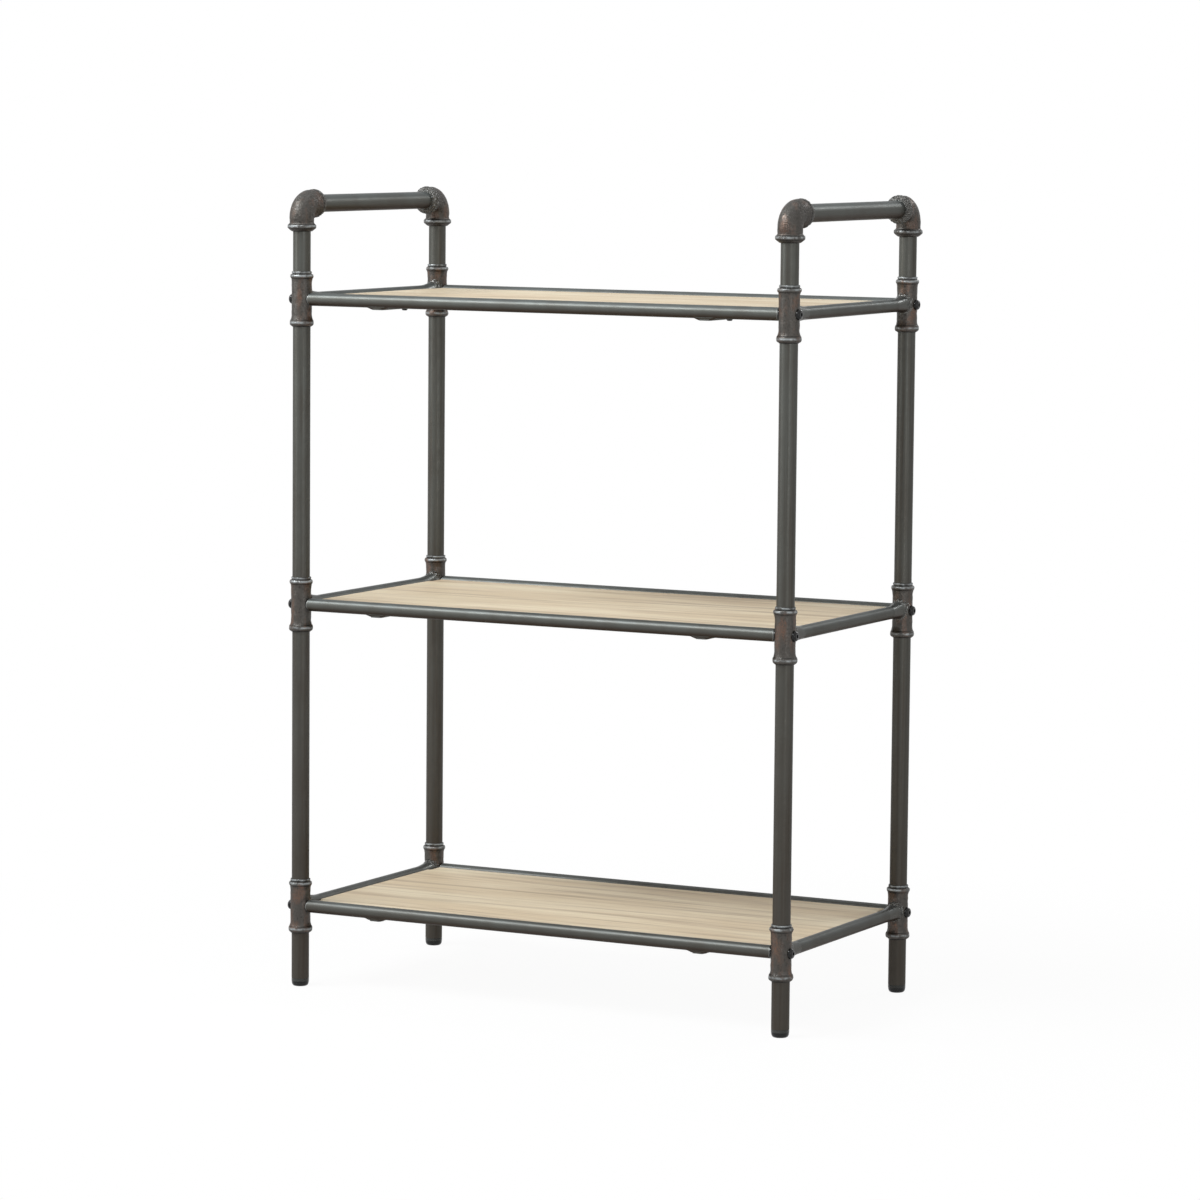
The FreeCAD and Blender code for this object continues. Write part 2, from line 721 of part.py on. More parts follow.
# ----------------------------------------------------- boards, straps and screws
def shelf_board(level):
    """A wooden board inside the rails, notched at the corners for the tees."""
    label = f"{level}_shelf_board"
    body = new_body(label)
    panel = new_sketch(body, f"{label}_panel", "XY_Plane", "-rail_radius")
    length = "board_half_length"
    width = "board_half_width"
    add_outline(
        panel,
        (f"-{length}", f"-{width}"),
        (length, f"-{width}"),
        (length, width),
        (f"-{length}", width),
    )
    extrude(body, "Pad", f"{label}_slab", panel, "board_thickness")
    notches = new_sketch(body, f"{label}_notches", "XY_Plane", "-rail_radius")
    notch_x = "half_span - tee_radius - notch_clearance"
    notch_y = "half_depth - branch_reach"
    for side in SIDES.values():
        for depth in DEPTHS.values():
            corner = (f"{side}half_span", f"{depth}half_depth")
            inner = (f"{side}({notch_x})", f"{depth}({notch_y})")
            add_outline(
                notches,
                inner,
                (corner[0], inner[1]),
                corner,
                (inner[0], corner[1]),
            )
    cut = extrude(body, "Pocket", f"{label}_corner_notches", notches, reverse=True)

    def inside_corner(edge):
        middle = edge.CenterOfMass
        upright = abs(edge.BoundBox.ZLength - value("board_thickness")) < 0.01
        at_x = abs(abs(middle.x) - value(notch_x)) < 0.01
        return upright and at_x and abs(abs(middle.y) - value(notch_y)) < 0.01

    rounded = dress(body, "Fillet", f"{label}_notch_rounds", cut, inside_corner, "notch_round")

    def around_faces(edge):
        return edge.BoundBox.ZLength < 0.01

    dress(body, "Chamfer", f"{label}_eased_edges", rounded, around_faces, "board_edge_chamfer")
    pilots = new_sketch(body, f"{label}_pilot_circles", "XY_Plane", "-rail_radius")
    for side in SIDES.values():
        for depth in DEPTHS.values():
            place_of_screw = (f"{side}strap_offset", f"{depth}(screw_row)")
            add_circle(pilots, "screw_radius + thread_clearance", *place_of_screw)
    extrude(body, "Pocket", f"{label}_pilots", pilots, "screw_bite + pilot_spare", reverse=True)
    place(body, z=LEVELS[level])


def shelf_straps(level):
    """Two flat bars under a board, welded to the undersides of the long rails."""
    label = f"{level}_straps"
    body = new_body(label)
    flat = new_sketch(body, f"{label}_outline", "XY_Plane", "-strap_underside")
    end = "half_depth + strap_overhang"
    inner = "strap_offset - strap_width / 2"
    outer = "strap_offset + strap_width / 2"
    add_outline(
        flat,
        (inner, f"-({end})"),
        (outer, f"-({end})"),
        (outer, end),
        (inner, end),
    )
    for depth in DEPTHS.values():
        add_circle(
            flat, "screw_radius + screw_hole_clearance", "strap_offset", f"{depth}(screw_row)"
        )
    bar = extrude(body, "Pad", f"{label}_bar", flat, "strap_thickness")

    def outer_corner(edge):
        upright = len(edge.Vertexes) == 2 and edge.BoundBox.ZLength > 0.1
        return upright and abs(abs(edge.CenterOfMass.y) - value(end)) < 0.01

    rounded = dress(body, "Fillet", f"{label}_corners", bar, outer_corner, "strap_corner")
    pair = body.newObject("PartDesign::Mirrored", f"{label}_pair")
    pair.Originals = [bar, rounded]
    pair.MirrorPlane = (origin_plane(body, "YZ_Plane"), [""])
    body.Tip = pair
    place(body, z=LEVELS[level])


def shelf_screws():
    """Pan-head screws up through the straps into the boards."""
    body = new_body("shelf_screws")
    profile = new_sketch(body, "shelf_screws_profile", "XZ_Plane", "screw_row")
    seat = "bottom_level - strap_underside"
    tip = "bottom_level - rail_radius + screw_bite"
    crown = f"{seat} - screw_head_height"
    edge = "strap_offset + screw_head_diameter / 2"
    shank = "strap_offset + screw_radius"
    dome_across = "strap_offset + screw_head_diameter / 2 * screw_dome_across"
    dome_along = f"{seat} - screw_head_height * screw_dome_along"
    add_outline(
        profile,
        ("strap_offset", crown),
        (edge, seat, (dome_across, dome_along)),
        (shank, seat),
        (shank, f"{tip} - screw_radius"),
        ("strap_offset", tip),
    )
    add_axis(profile, ("strap_offset", crown), ("strap_offset", tip))
    blank = turn(body, "Revolution", "shelf_screws_blank", profile, "Axis0")
    at_every_joint(body, blank)


# --------------------------------------------------------------- whole assembly
def build():
    """Makes every piece of the unit."""
    fill_sheet()
    for side, side_sign in SIDES.items():
        x = f"{side_sign}half_span"
        for depth, depth_sign in DEPTHS.items():
            y = f"{depth_sign}half_depth"
            corner = f"{depth}_{side}"
            foot(corner, x, y)
            post_sections(corner, x, y)
            for level in LEVELS:
                tee(corner, x, y, level, side, depth)
            elbow(corner, x, y, depth == "rear")
        handle_bar(side, x)
        for level in LEVELS:
            side_rail(side, x, level)
    for level in LEVELS:
        for depth, depth_sign in DEPTHS.items():
            long_rail(depth, f"{depth_sign}half_depth", level)
        shelf_board(level)
        shelf_straps(level)
    rail_bolts()
    saddle_washers()
    threaded_plugs()
    shelf_screws()
    doc.recompute()


def check():
    """Stops with the name of any object that failed or any shape that isn't sound."""
    for item in doc.Objects:
        if "Invalid" in item.State or "Error" in item.State:
            raise RuntimeError(f"{item.Label} failed: {item.State}")
    for body in bodies():
        if body.Shape.isNull() or not body.Shape.isValid() or not body.Shape.Solids:
            raise RuntimeError(f"{body.Label} has no sound solid")


def bodies():
    """Every sub-part, in the order it was made."""
    return [item for item in doc.Objects if item.TypeId == "PartDesign::Body"]


def write_parts():
    """Writes one STEP file per sub-part, named by its label."""
    os.makedirs("parts", exist_ok=True)
    for body in bodies():
        body.Shape.exportStep(f"parts/{body.Label}.step")


build()
check()
write_parts()
print(f"{len(bodies())} sub-parts, {sum(len(b.Shape.Solids) for b in bodies())} solids")
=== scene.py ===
"""Finishes, cast fittings and fasteners of an open shelving unit of dark pipe and pale boards.

Metres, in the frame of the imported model: origin on the floor under the middle of
the unit, +X right, +Y back, +Z up. Straight pipes, rails, straps and boards are the
model's own nodes with a finish. Tees, elbows, bolts, screws, foot glides and welds
are surfaces worked out here, each standing where its node stands.
"""

import math

import bpy
import numpy as np
from bpy.props import FloatProperty, FloatVectorProperty, PointerProperty
from mathutils import Matrix, Vector


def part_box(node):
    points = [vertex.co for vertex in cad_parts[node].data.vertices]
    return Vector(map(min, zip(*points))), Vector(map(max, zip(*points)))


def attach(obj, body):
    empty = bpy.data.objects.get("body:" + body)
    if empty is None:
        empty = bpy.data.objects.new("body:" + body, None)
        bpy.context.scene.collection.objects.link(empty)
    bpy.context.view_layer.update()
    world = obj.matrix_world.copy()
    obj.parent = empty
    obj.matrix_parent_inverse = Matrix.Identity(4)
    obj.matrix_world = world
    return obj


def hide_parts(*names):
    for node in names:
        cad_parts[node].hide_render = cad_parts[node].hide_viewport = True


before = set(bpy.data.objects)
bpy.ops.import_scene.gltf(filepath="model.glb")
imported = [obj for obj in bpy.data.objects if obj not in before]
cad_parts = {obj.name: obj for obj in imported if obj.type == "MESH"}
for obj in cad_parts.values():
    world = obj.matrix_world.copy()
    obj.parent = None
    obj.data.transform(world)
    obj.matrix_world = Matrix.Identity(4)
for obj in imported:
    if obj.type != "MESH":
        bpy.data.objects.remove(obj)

bl_info = {
    "name": "Pipe shelf",
    "version": (1, 0, 0),
    "blender": (4, 5, 0),
    "location": "3D View > Sidebar > Pipe Shelf",
    "description": "Dresses a pipe shelving unit: castings, fasteners, finishes and a studio",
    "category": "Object",
}

MM = 0.001
CORNERS = [(depth, side) for depth in ("front", "rear") for side in ("left", "right")]
LEVELS = ("bottom", "middle", "top")
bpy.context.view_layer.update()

TUBE_CLEARANCE = 0.05 * MM  # radial, tube in a socket
SPIGOT_STEP = 1.5 * MM  # from a side rail's outside in to its spigot
BOLT_LENGTH = 40 * MM
SCREW_HEAD_RADIUS = 3.8 * MM
HALF_STRAP = 7.5 * MM  # half a strap's width
PLUG_STEP = 1.6 * MM  # from a foot's rim in to its plug, for the pipe's wall
TEE_POINTS = 96  # round a tee
ELBOW_POINTS = 150  # round an elbow
FASTENER_POINTS = 48  # round a bolt or screw
FOOT_POINTS = 72  # round a foot glide

# Each lamp: name, place, target, width, height, watts and tint; lengths in metres.
LAMP_TARGET = (0, 0, 0.6)
LAMPS = (
    ("key_box", (-1.25, -1.6, 2.55), LAMP_TARGET, 2.2, 0.6, 80, (0.97, 0.99, 1.0)),
    ("left_box", (-2.3, -1.9, 1.3), LAMP_TARGET, 1.4, 1.6, 13, (1, 1, 1)),
    ("right_box", (1.7, -0.5, 0.8), (0.35, 0, 0.6), 0.7, 1.4, 2, (1, 1, 1)),
    ("streak_strip", (1.9, -1.8, 0.5), LAMP_TARGET, 0.26, 2.4, 8, (1, 1, 1)),
    ("top_box", (0.3, 0.2, 2.9), LAMP_TARGET, 1.6, 1.0, 5, (1, 1, 1)),
    ("rear_box", (1.0, 2.2, 2.0), LAMP_TARGET, 0.4, 0.5, 9, (1, 1, 1)),
)
FLOOR_HALF = 12  # metres from the middle of the floor to its edge
SHADOW_FADE = (0.35, 1.2)  # metres from the middle between which the shown shadow fades out


# ------------------------------------------------------------------ settings
def length(name, text, millimetres):
    """A length setting, given in millimetres and kept in metres."""
    return FloatProperty(
        name=name, description=text, default=millimetres * MM, min=0, precision=5,
        subtype="DISTANCE", unit="LENGTH",
    )


def share(name, text, default, most=1.0):
    """A plain number setting, from nothing to its most."""
    return FloatProperty(name=name, description=text, default=default, min=0, max=most, precision=3)


def angle(name, text, degrees):
    """An angle setting, given in degrees."""
    return FloatProperty(name=name, description=text, default=math.radians(degrees), subtype="ANGLE")


def colour(name, text, red, green, blue):
    """A colour setting, in linear light."""
    return FloatVectorProperty(
        name=name, description=text, default=(red, green, blue), size=3, min=0, max=1,
        subtype="COLOR",
    )


class TeeSizes(bpy.types.PropertyGroup):
    """Shape of a cast tee, measured from the rail axis and the post axis."""

    barrel_radius: length("Barrel radius", "Outside of the barrel between the beads", 12.6)
    end_radius: length("End radius", "Outside of the barrel beyond the beads", 12.1)
    upper_bead_rise: length("Upper bead rise", "From the rail axis up to the bead's crown", 28.5)
    upper_bead_radius: length("Upper bead radius", "At the upper bead's crown", 14.5)
    upper_bead_height: length("Upper bead height", "Along the post", 5.4)
    lower_bead_drop: length("Lower bead drop", "From the rail axis down to the bead's crown", 29.5)
    lower_bead_radius: length("Lower bead radius", "At the lower bead's crown", 15.0)
    lower_bead_height: length("Lower bead height", "Along the post", 7.6)
    bead_shoulder: length("Bead shoulder", "From a bead's crown in to where its flare starts", 1.1)
    bead_flare: length("Bead flare", "How far the barrel widens towards a bead", 6.0)
    lip_radius: length("Lip radius", "Thin ring at the top mouth", 12.5)
    lip_height: length("Lip height", "Along the post", 2.4)
    bore_radius: length("Bore radius", "Passage between the sockets", 9.0)
    socket_depth: length("Socket depth", "How deep a post pipe goes in", 22.0)
    bolt_seat: length("Bolt seat", "Flat for the bolt head, from the post axis", 11.8)
    bolt_seat_radius: length("Bolt seat radius", "Radius of that flat", 6.8)
    branch_swell: length("Branch swell", "How much the branch widens at its root, at the side", 1.6)
    branch_rise: length("Branch rise", "How much more it widens on top", 2.6)
    branch_start: length("Branch start", "Where the swell begins, from the post axis", 41.0)
    weld_reach: length("Weld reach", "How far the root weld climbs the barrel", 2.6)
    weld_ripple: length("Weld ripple", "Height of the ripples in the root weld", 0.55)
    casting_lumps: length("Casting lumps", "Unevenness of the barrel", 0.10)


class ElbowSizes(bpy.types.PropertyGroup):
    """Shape of a cast elbow, measured from the corner of its two axes."""

    body_radius: length("Body radius", "Outside of the body", 15.0)
    bend_radius: length("Bend radius", "Of the bend's middle line", 18.0)
    bead_radius: length("Bead radius", "At the crown of the band round a mouth", 17.95)
    bead_inset: length("Bead inset", "From the mouth to the band's crown", 6.0)
    bead_height: length("Bead height", "Of the band, along the axis", 4.8)
    bead_shoulder: length("Bead shoulder", "From the crown in to the band's edge", 0.9)
    bead_flare: length("Bead flare", "Length over which the body widens to the band", 3.0)
    arm_flare: length("Arm flare", "The same at the arm, where the body grows slowly", 17.0)
    outer_swell: length("Outer swell", "How much fuller the outside of the bend is", 1.6)
    mouth_crumble: length("Mouth crumble", "Height of the rough ring at an arm's mouth", 0.65)
    mouth_radius: length("Mouth radius", "Outside of the mouth's end", 12.3)
    bore_radius: length("Bore radius", "Passage between the sockets", 9.0)
    socket_depth: length("Socket depth", "How deep a pipe goes in", 15.0)
    casting_lumps: length("Casting lumps", "Height of the coarse sand texture", 0.08)
    casting_grain: length("Casting grain", "Height of the fine sand texture", 0.10)


class FastenerSizes(bpy.types.PropertyGroup):
    """Heads of the rail bolts and shelf screws, foot glides and strap welds."""

    bolt_rim: length("Bolt rim", "Height of the straight rim under a bolt's dome", 0.9)
    bolt_crown: length("Bolt crown radius", "Flat round the hexagon", 3.4)
    bolt_hex: length("Hexagon", "Across flats", 4.0)
    bolt_hex_depth: length("Hexagon depth", "Depth of the socket", 2.6)
    bolt_shank: length("Bolt shank radius", "Outside of the thread", 3.0)
    screw_shank: length("Screw shank radius", "Outside of the thread", 2.0)
    screw_cross: length("Cross radius", "Reach of a screw's cross recess", 2.3)
    screw_slot: length("Cross half width", "Half the width of its arms", 0.5)
    screw_cross_depth: length("Cross depth", "Depth of the cross", 1.3)
    foot_height: length("Foot height", "Visible height of a foot glide", 10.0)
    foot_tread: length("Foot tread radius", "Flat that stands on the floor", 7.5)
    foot_round: length("Foot round", "Height of the rounded lower edge", 5.0)
    foot_groove: length("Foot groove", "Depth of the groove under the pipe's end", 0.35)
    weld_length: length("Strap weld length", "Past each edge of a strap", 9.0)
    weld_depth: length("Strap weld depth", "Below the rail, at the strap's edge", 2.35)


class Finishes(bpy.types.PropertyGroup):
    """Colours of the finishes."""

    pipe: colour("Pipe", "Satin grey of the pipes", 0.103, 0.106, 0.097)
    # painted shade: this brown-grey darkens undersides and the stretches near the floor, and also gives
    # the random mottle and lengthwise marks
    pipe_shade_and_mottle: colour("Pipe, warm", "Browner grey of undersides and low stretches", 0.052, 0.038, 0.028)
    # painted highlight: this lighter bluish grey goes on the upper sides, where the overhead light falls
    pipe_lit_top: colour("Pipe, cool", "Bluish grey of the upper sides", 0.128, 0.141, 0.139)
    casting: colour("Casting", "Grey of the fittings", 0.082, 0.074, 0.067)
    copper: colour("Copper rub", "Brown where the fittings are rubbed", 0.165, 0.100, 0.072)
    rust: colour("Rust fleck", "Small orange flecks in the rub", 0.30, 0.12, 0.06)
    # painted highlight: bluish metal laid on the bead crowns
    crown_highlight: colour("Polished crown", "Bluish metal on the crowns of the beads", 0.31, 0.33, 0.335)
    # pale metal for real wear, scuffs, scratches and turned rings, and also for painted highlights on the
    # rails' coped ends and on welds
    wear_and_highlight: colour("Worn edge", "Pale metal at worn edges", 0.34, 0.35, 0.34)
    board: colour("Board", "Middle colour of the wood", 0.69, 0.57, 0.40)
    board_pale: colour("Board, pale", "Palest grain", 0.79, 0.69, 0.51)
    board_dark: colour("Board, dark", "Grey-brown grain", 0.38, 0.275, 0.18)
    black: colour("Black", "Bolts, washers, screws and foot glides", 0.012, 0.012, 0.012)
    steel: colour("Steel", "Threaded plugs", 0.45, 0.45, 0.44)
    backdrop: colour("Backdrop", "Floor and background", 1.0, 1.0, 1.0)


class Studio(bpy.types.PropertyGroup):
    """Camera and lamps."""

    focal_length: share("Focal length", "In millimetres, on a 36 mm sensor", 144.736, 500)
    camera_right: length("Camera right", "Camera's place along X", 2777.6)
    camera_ahead: length("Camera in front", "Camera's place in front of the unit", 5311.7)
    camera_height: length("Camera height", "Above the floor", 1115.9)
    camera_turn: angle("Camera turn", "To the left of straight ahead", 27.625)
    camera_tilt: angle("Camera tilt", "Downwards", 5.943)
    camera_roll: angle("Camera roll", "Anticlockwise", 0.498)
    ambient: share("Ambient", "Light from all round", 0.22, 10)
    floor_bounce: share("Floor bounce", "How much light the floor throws back up", 0.45)
    floor_shadow: share("Floor shadow", "How much of the unit's shadow the floor shows", 0.05)


# ------------------------------------------------------------- surface maths
def ease(steps):
    """Turns 0..1 into 0..1 with level ends: 3 t^2 - 2 t^3."""
    steps = np.clip(steps, 0, 1)
    return steps * steps * (3 - 2 * steps)


def lumps(points, wavelength, seed, waves=16):
    """Smooth bumps of about unit height: sines along random directions, added up.

    Each sine's length is between 0.7 and 1.4 of the wavelength and its phase is random.
    """
    draw = np.random.default_rng(seed)
    heading = draw.normal(size=(waves, 3))
    heading /= np.linalg.norm(heading, axis=1, keepdims=True)
    rate = 2 * np.pi / (wavelength * draw.uniform(0.7, 1.4, (waves, 1)))
    phase = draw.uniform(0, 2 * np.pi, waves)
    return np.sin(points @ (heading * rate).T + phase).sum(-1) * math.sqrt(2 / waves)


def around(points):
    """Angles evenly spaced round a circle."""
    return np.arange(points) * (2 * np.pi / points)


def near(values, marks, reach=0.9 * MM):
    """1 where a value meets a mark, falling straight to 0 at the reach."""
    away = np.abs(np.asarray(values)[..., None] - np.array(marks)).min(-1)
    return np.clip(1 - away / reach, 0, 1)


def revolve(radii, heights, points):
    """Rings about Z: each is a circle of its radius, or of one radius per angle, at its height."""
    turn = around(points)
    rows = np.stack([np.broadcast_to(radius, points) for radius in radii])
    level = np.outer(heights, np.ones(points))
    return np.stack([rows * np.cos(turn), rows * np.sin(turn), level], axis=-1)


def normals(rings):
    """Unit normals of a ring grid: the cross product of its two grid directions."""
    along = np.gradient(rings, axis=0)
    wrapped = np.concatenate([rings[:, -1:], rings, rings[:, :1]], axis=1)
    across = np.gradient(wrapped, axis=1)[:, 1:-1]
    product = np.cross(across, along)
    size = np.linalg.norm(product, axis=-1, keepdims=True)
    return product / np.maximum(size, 1e-12)


def ring_shell(rings, looped=False):
    """Points, quads and triangles of a closed shell from rings of shape (rings, points, 3).

    Each ring is joined to the next all the way round by quads. A looped shell joins its
    last ring to its first; any other has each end closed by a fan on the ring's centre.
    Faces are turned round where their directions, each times its place from the centre,
    add up to less than nothing, so they point outwards.
    """
    ring_count, point_count = rings.shape[:2]
    index = np.arange(ring_count * point_count).reshape(ring_count, point_count)
    onward = np.roll(index, -1, axis=1)
    stop = ring_count if looped else ring_count - 1
    above = np.roll(index, -1, axis=0)[:stop]
    above_onward = np.roll(onward, -1, axis=0)[:stop]
    quads = np.stack([index[:stop], onward[:stop], above_onward, above], axis=-1).reshape(-1, 4)
    points = rings.reshape(-1, 3)
    fans = np.empty((0, 3), int)
    if not looped:
        poles = np.stack([rings[0].mean(axis=0), rings[-1].mean(axis=0)])
        first, last = len(points), len(points) + 1
        points = np.concatenate([points, poles])
        start_fan = np.stack([onward[0], index[0], np.full(point_count, first)], axis=-1)
        end_fan = np.stack([index[-1], onward[-1], np.full(point_count, last)], axis=-1)
        fans = np.concatenate([start_fan, end_fan])
    corners = points[quads]
    centre = points.mean(axis=0)
    diagonal_a = corners[:, 2] - corners[:, 0]
    diagonal_b = corners[:, 3] - corners[:, 1]
    outward = (np.cross(diagonal_a, diagonal_b) * (corners.mean(axis=1) - centre)).sum()
    if outward < 0:
        quads, fans = quads[:, ::-1], fans[:, ::-1]
    return points, quads, fans


def piece(name, shells, material, node=None, attributes=None, crease=50):
    """One object from several shells, smoothly shaded up to the crease angle in degrees."""
    points = np.concatenate([shell[0] for shell in shells])
    faces, start = [], 0
    for shell_points, quads, fans in shells:
        faces += (quads + start).tolist() + (fans + start).tolist()
        start += len(shell_points)
    mesh = bpy.data.meshes.new(name)
    mesh.from_pydata(points.tolist(), [], faces)
    mesh.shade_smooth()
    mesh.set_sharp_from_angle(angle=math.radians(crease))
    for label, values in (attributes or {}).items():
        attribute = mesh.attributes.new(label, "FLOAT", "POINT")
        attribute.data.foreach_set("value", values.astype(np.float32))
    mesh.materials.append(material)
    made = bpy.data.objects.new(name, mesh)
    bpy.context.scene.collection.objects.link(made)
    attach(made, "root")
    if node:
        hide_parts(node)
    return made


def middle(node):
    """The centre of a node's box, as an array."""
    low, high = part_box(node)
    return (np.array(low) + np.array(high)) / 2


def joint_place(depth, side, level):
    """Where a post axis meets the rail axis of a level."""
    place = middle(f"{depth}_{side}_leg_pipe")
    place[2] = middle(f"{side}_{level}_side_rail")[2]
    return place


def outer_radius(node, axis=0):
    """Half the width of a node's box along an axis."""
    low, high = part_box(node)
    return (high[axis] - low[axis]) / 2


# ------------------------------------------------------------------ materials
class Nodes:
    """A material's node tree; most methods add a node and give back its output."""

    def __init__(self, name, roughness, metallic=0.0, specular=0.5, edge=1.0,
                 coat=0.0, coat_roughness=0.1):
        self.material = bpy.data.materials.new(name)
        self.material.use_nodes = True
        self.tree = self.material.node_tree
        self.shader = self.tree.nodes["Principled BSDF"]
        self.put(self.shader, {
            "Roughness": roughness, "Metallic": metallic, "Specular IOR Level": specular,
            "Specular Tint": (edge, edge, edge, 1),
            "Coat Weight": coat, "Coat Roughness": coat_roughness,
        })
        self.object_place = self.tree.nodes.new("ShaderNodeTexCoord").outputs["Object"]

    def put(self, node, inputs):
        """Sets or links each named input of a node."""
        for key, given in inputs.items():
            if isinstance(given, bpy.types.NodeSocket):
                self.tree.links.new(given, node.inputs[key])
            elif given is not None:
                node.inputs[key].default_value = given

    def add(self, kind, inputs, output=0, **settings):
        """Adds a node with its settings and inputs."""
        node = self.tree.nodes.new("ShaderNode" + kind)
        for key, given in settings.items():
            setattr(node, key, given)
        self.put(node, inputs)
        return node.outputs[output]

    def stretched(self, scale, shift=(0, 0, 0)):
        """Object coordinates, scaled per axis."""
        return self.add("Mapping", {"Vector": self.object_place, "Scale": scale, "Location": shift})

    def noise(self, size, detail=3.0, stretch=(1, 1, 1), rough=0.5, shift=(0, 0, 0), warp=0.0):
        """Noise whose features are about the given size, longer where stretch is large."""
        scale = tuple(1 / (size * part) for part in stretch)
        return self.add("TexNoise", {
            "Vector": self.stretched(scale, shift), "Scale": 1.0, "Detail": detail,
            "Roughness": rough, "Distortion": warp,
        })

    def cells(self, size):
        """Distance to the nearest of scattered points about the given size apart."""
        vector = self.stretched((1 / size, 1 / size, 1 / size))
        return self.add("TexVoronoi", {"Vector": vector, "Scale": 1.0}, feature="F1")

    def between(self, value, low, high, to_low=0.0, to_high=1.0):
        """Eases a value from low..high into to_low..to_high."""
        return self.add("MapRange", {
            "Value": value, "From Min": low, "From Max": high, "To Min": to_low, "To Max": to_high,
        }, interpolation_type="SMOOTHSTEP")

    def calc(self, operation, first, second=None):
        """Arithmetic on one or two values."""
        return self.add("Math", {0: first, 1: second}, operation=operation)

    def times(self, first, second):
        """The product of two values."""
        return self.calc("MULTIPLY", first, second)

    def mix(self, amount, first, second):
        """A colour between two colours."""
        pair = [
            tone if isinstance(tone, bpy.types.NodeSocket) else (*tone, 1) for tone in (first, second)
        ]
        return self.add("Mix", {0: amount, 6: pair[0], 7: pair[1]}, output=2, data_type="RGBA")

    def split(self, vector):
        """The three parts of a vector."""
        node = self.tree.nodes.new("ShaderNodeSeparateXYZ")
        self.tree.links.new(vector, node.inputs[0])
        return node.outputs

    def facing_up(self):
        """The upward part of the surface's own direction, from -1 to 1."""
        geometry = self.tree.nodes.new("ShaderNodeNewGeometry")
        return self.split(geometry.outputs["Normal"])[2]

    def height(self):
        """How high above the floor a point lies."""
        return self.split(self.object_place)[2]

    def own(self, label):
        """A number kept in the piece's mesh."""
        node = self.tree.nodes.new("ShaderNodeAttribute")
        node.attribute_name = label
        return node.outputs["Fac"]

    def bump(self, value, distance, below=None):
        """Raises the surface by a value times the distance."""
        return self.add("Bump", {
            "Height": value, "Distance": distance, "Strength": 1.0, "Normal": below,
        })

    def done(self, base, normal=None, roughness=None, coat_normal=None):
        """Links the finished colour, normals and roughness to the shader."""
        self.put(self.shader, {
            "Base Color": base, "Normal": normal, "Roughness": roughness, "Coat Normal": coat_normal,
        })
        return self.material


def pipe_tone(nodes, tones, floor_shade_share=0.8):
    """Grey, lighter and bluer on top as a painted highlight, browner below and near the floor as painted
    shade, gently mottled.

    The floor shade share says how much of that painted shade a point has near the floor.
    """
    up = nodes.facing_up()
    # painted highlight: lighter bluish grey where the surface faces up
    tone = nodes.mix(nodes.between(up, 0.1, 0.8), tones.pipe, tones.pipe_lit_top)
    # painted shade: brown-grey where the surface faces down
    tone = nodes.mix(nodes.between(up, 0.0, -0.7, 0.0, 0.9), tone, tones.pipe_shade_and_mottle)
    # painted shade: darker and browner towards the floor
    tone = nodes.mix(nodes.between(nodes.height(), 0.9, -0.15, 0.0, floor_shade_share), tone, tones.pipe_shade_and_mottle)
    # random mottle in the same brown-grey
    blotch = nodes.between(nodes.noise(30 * MM, 4, (1, 1, 2)), 0.35, 0.7, 0.0, 0.2)
    return nodes.mix(blotch, tone, tones.pipe_shade_and_mottle)


def pipe_finish(tones):
    """Satin grey paint on drawn tube: fine orange peel, slow waves and faint lengthwise marks."""
    nodes = Nodes("shelf_pipe", 0.34, metallic=0.45, specular=0.15, edge=0.4)
    # painted light: lighter tops, shaded undersides and darker stretches near the floor
    tone = pipe_tone(nodes, tones, 0.62)
    drawn = nodes.between(nodes.noise(3.5 * MM, 3, (1, 1, 45)), 0.42, 0.75, 0.0, 0.4)
    tone = nodes.mix(drawn, tone, tones.pipe_shade_and_mottle)
    peel = nodes.noise(0.9 * MM, 2)
    waves = nodes.noise(14 * MM, 2)
    normal = nodes.bump(waves, 0.25 * MM)
    normal = nodes.bump(peel, 0.02 * MM, normal)
    rough = nodes.between(nodes.noise(9 * MM, 4), 0.3, 0.7, 0.28, 0.38)
    return nodes.done(tone, normal, rough)


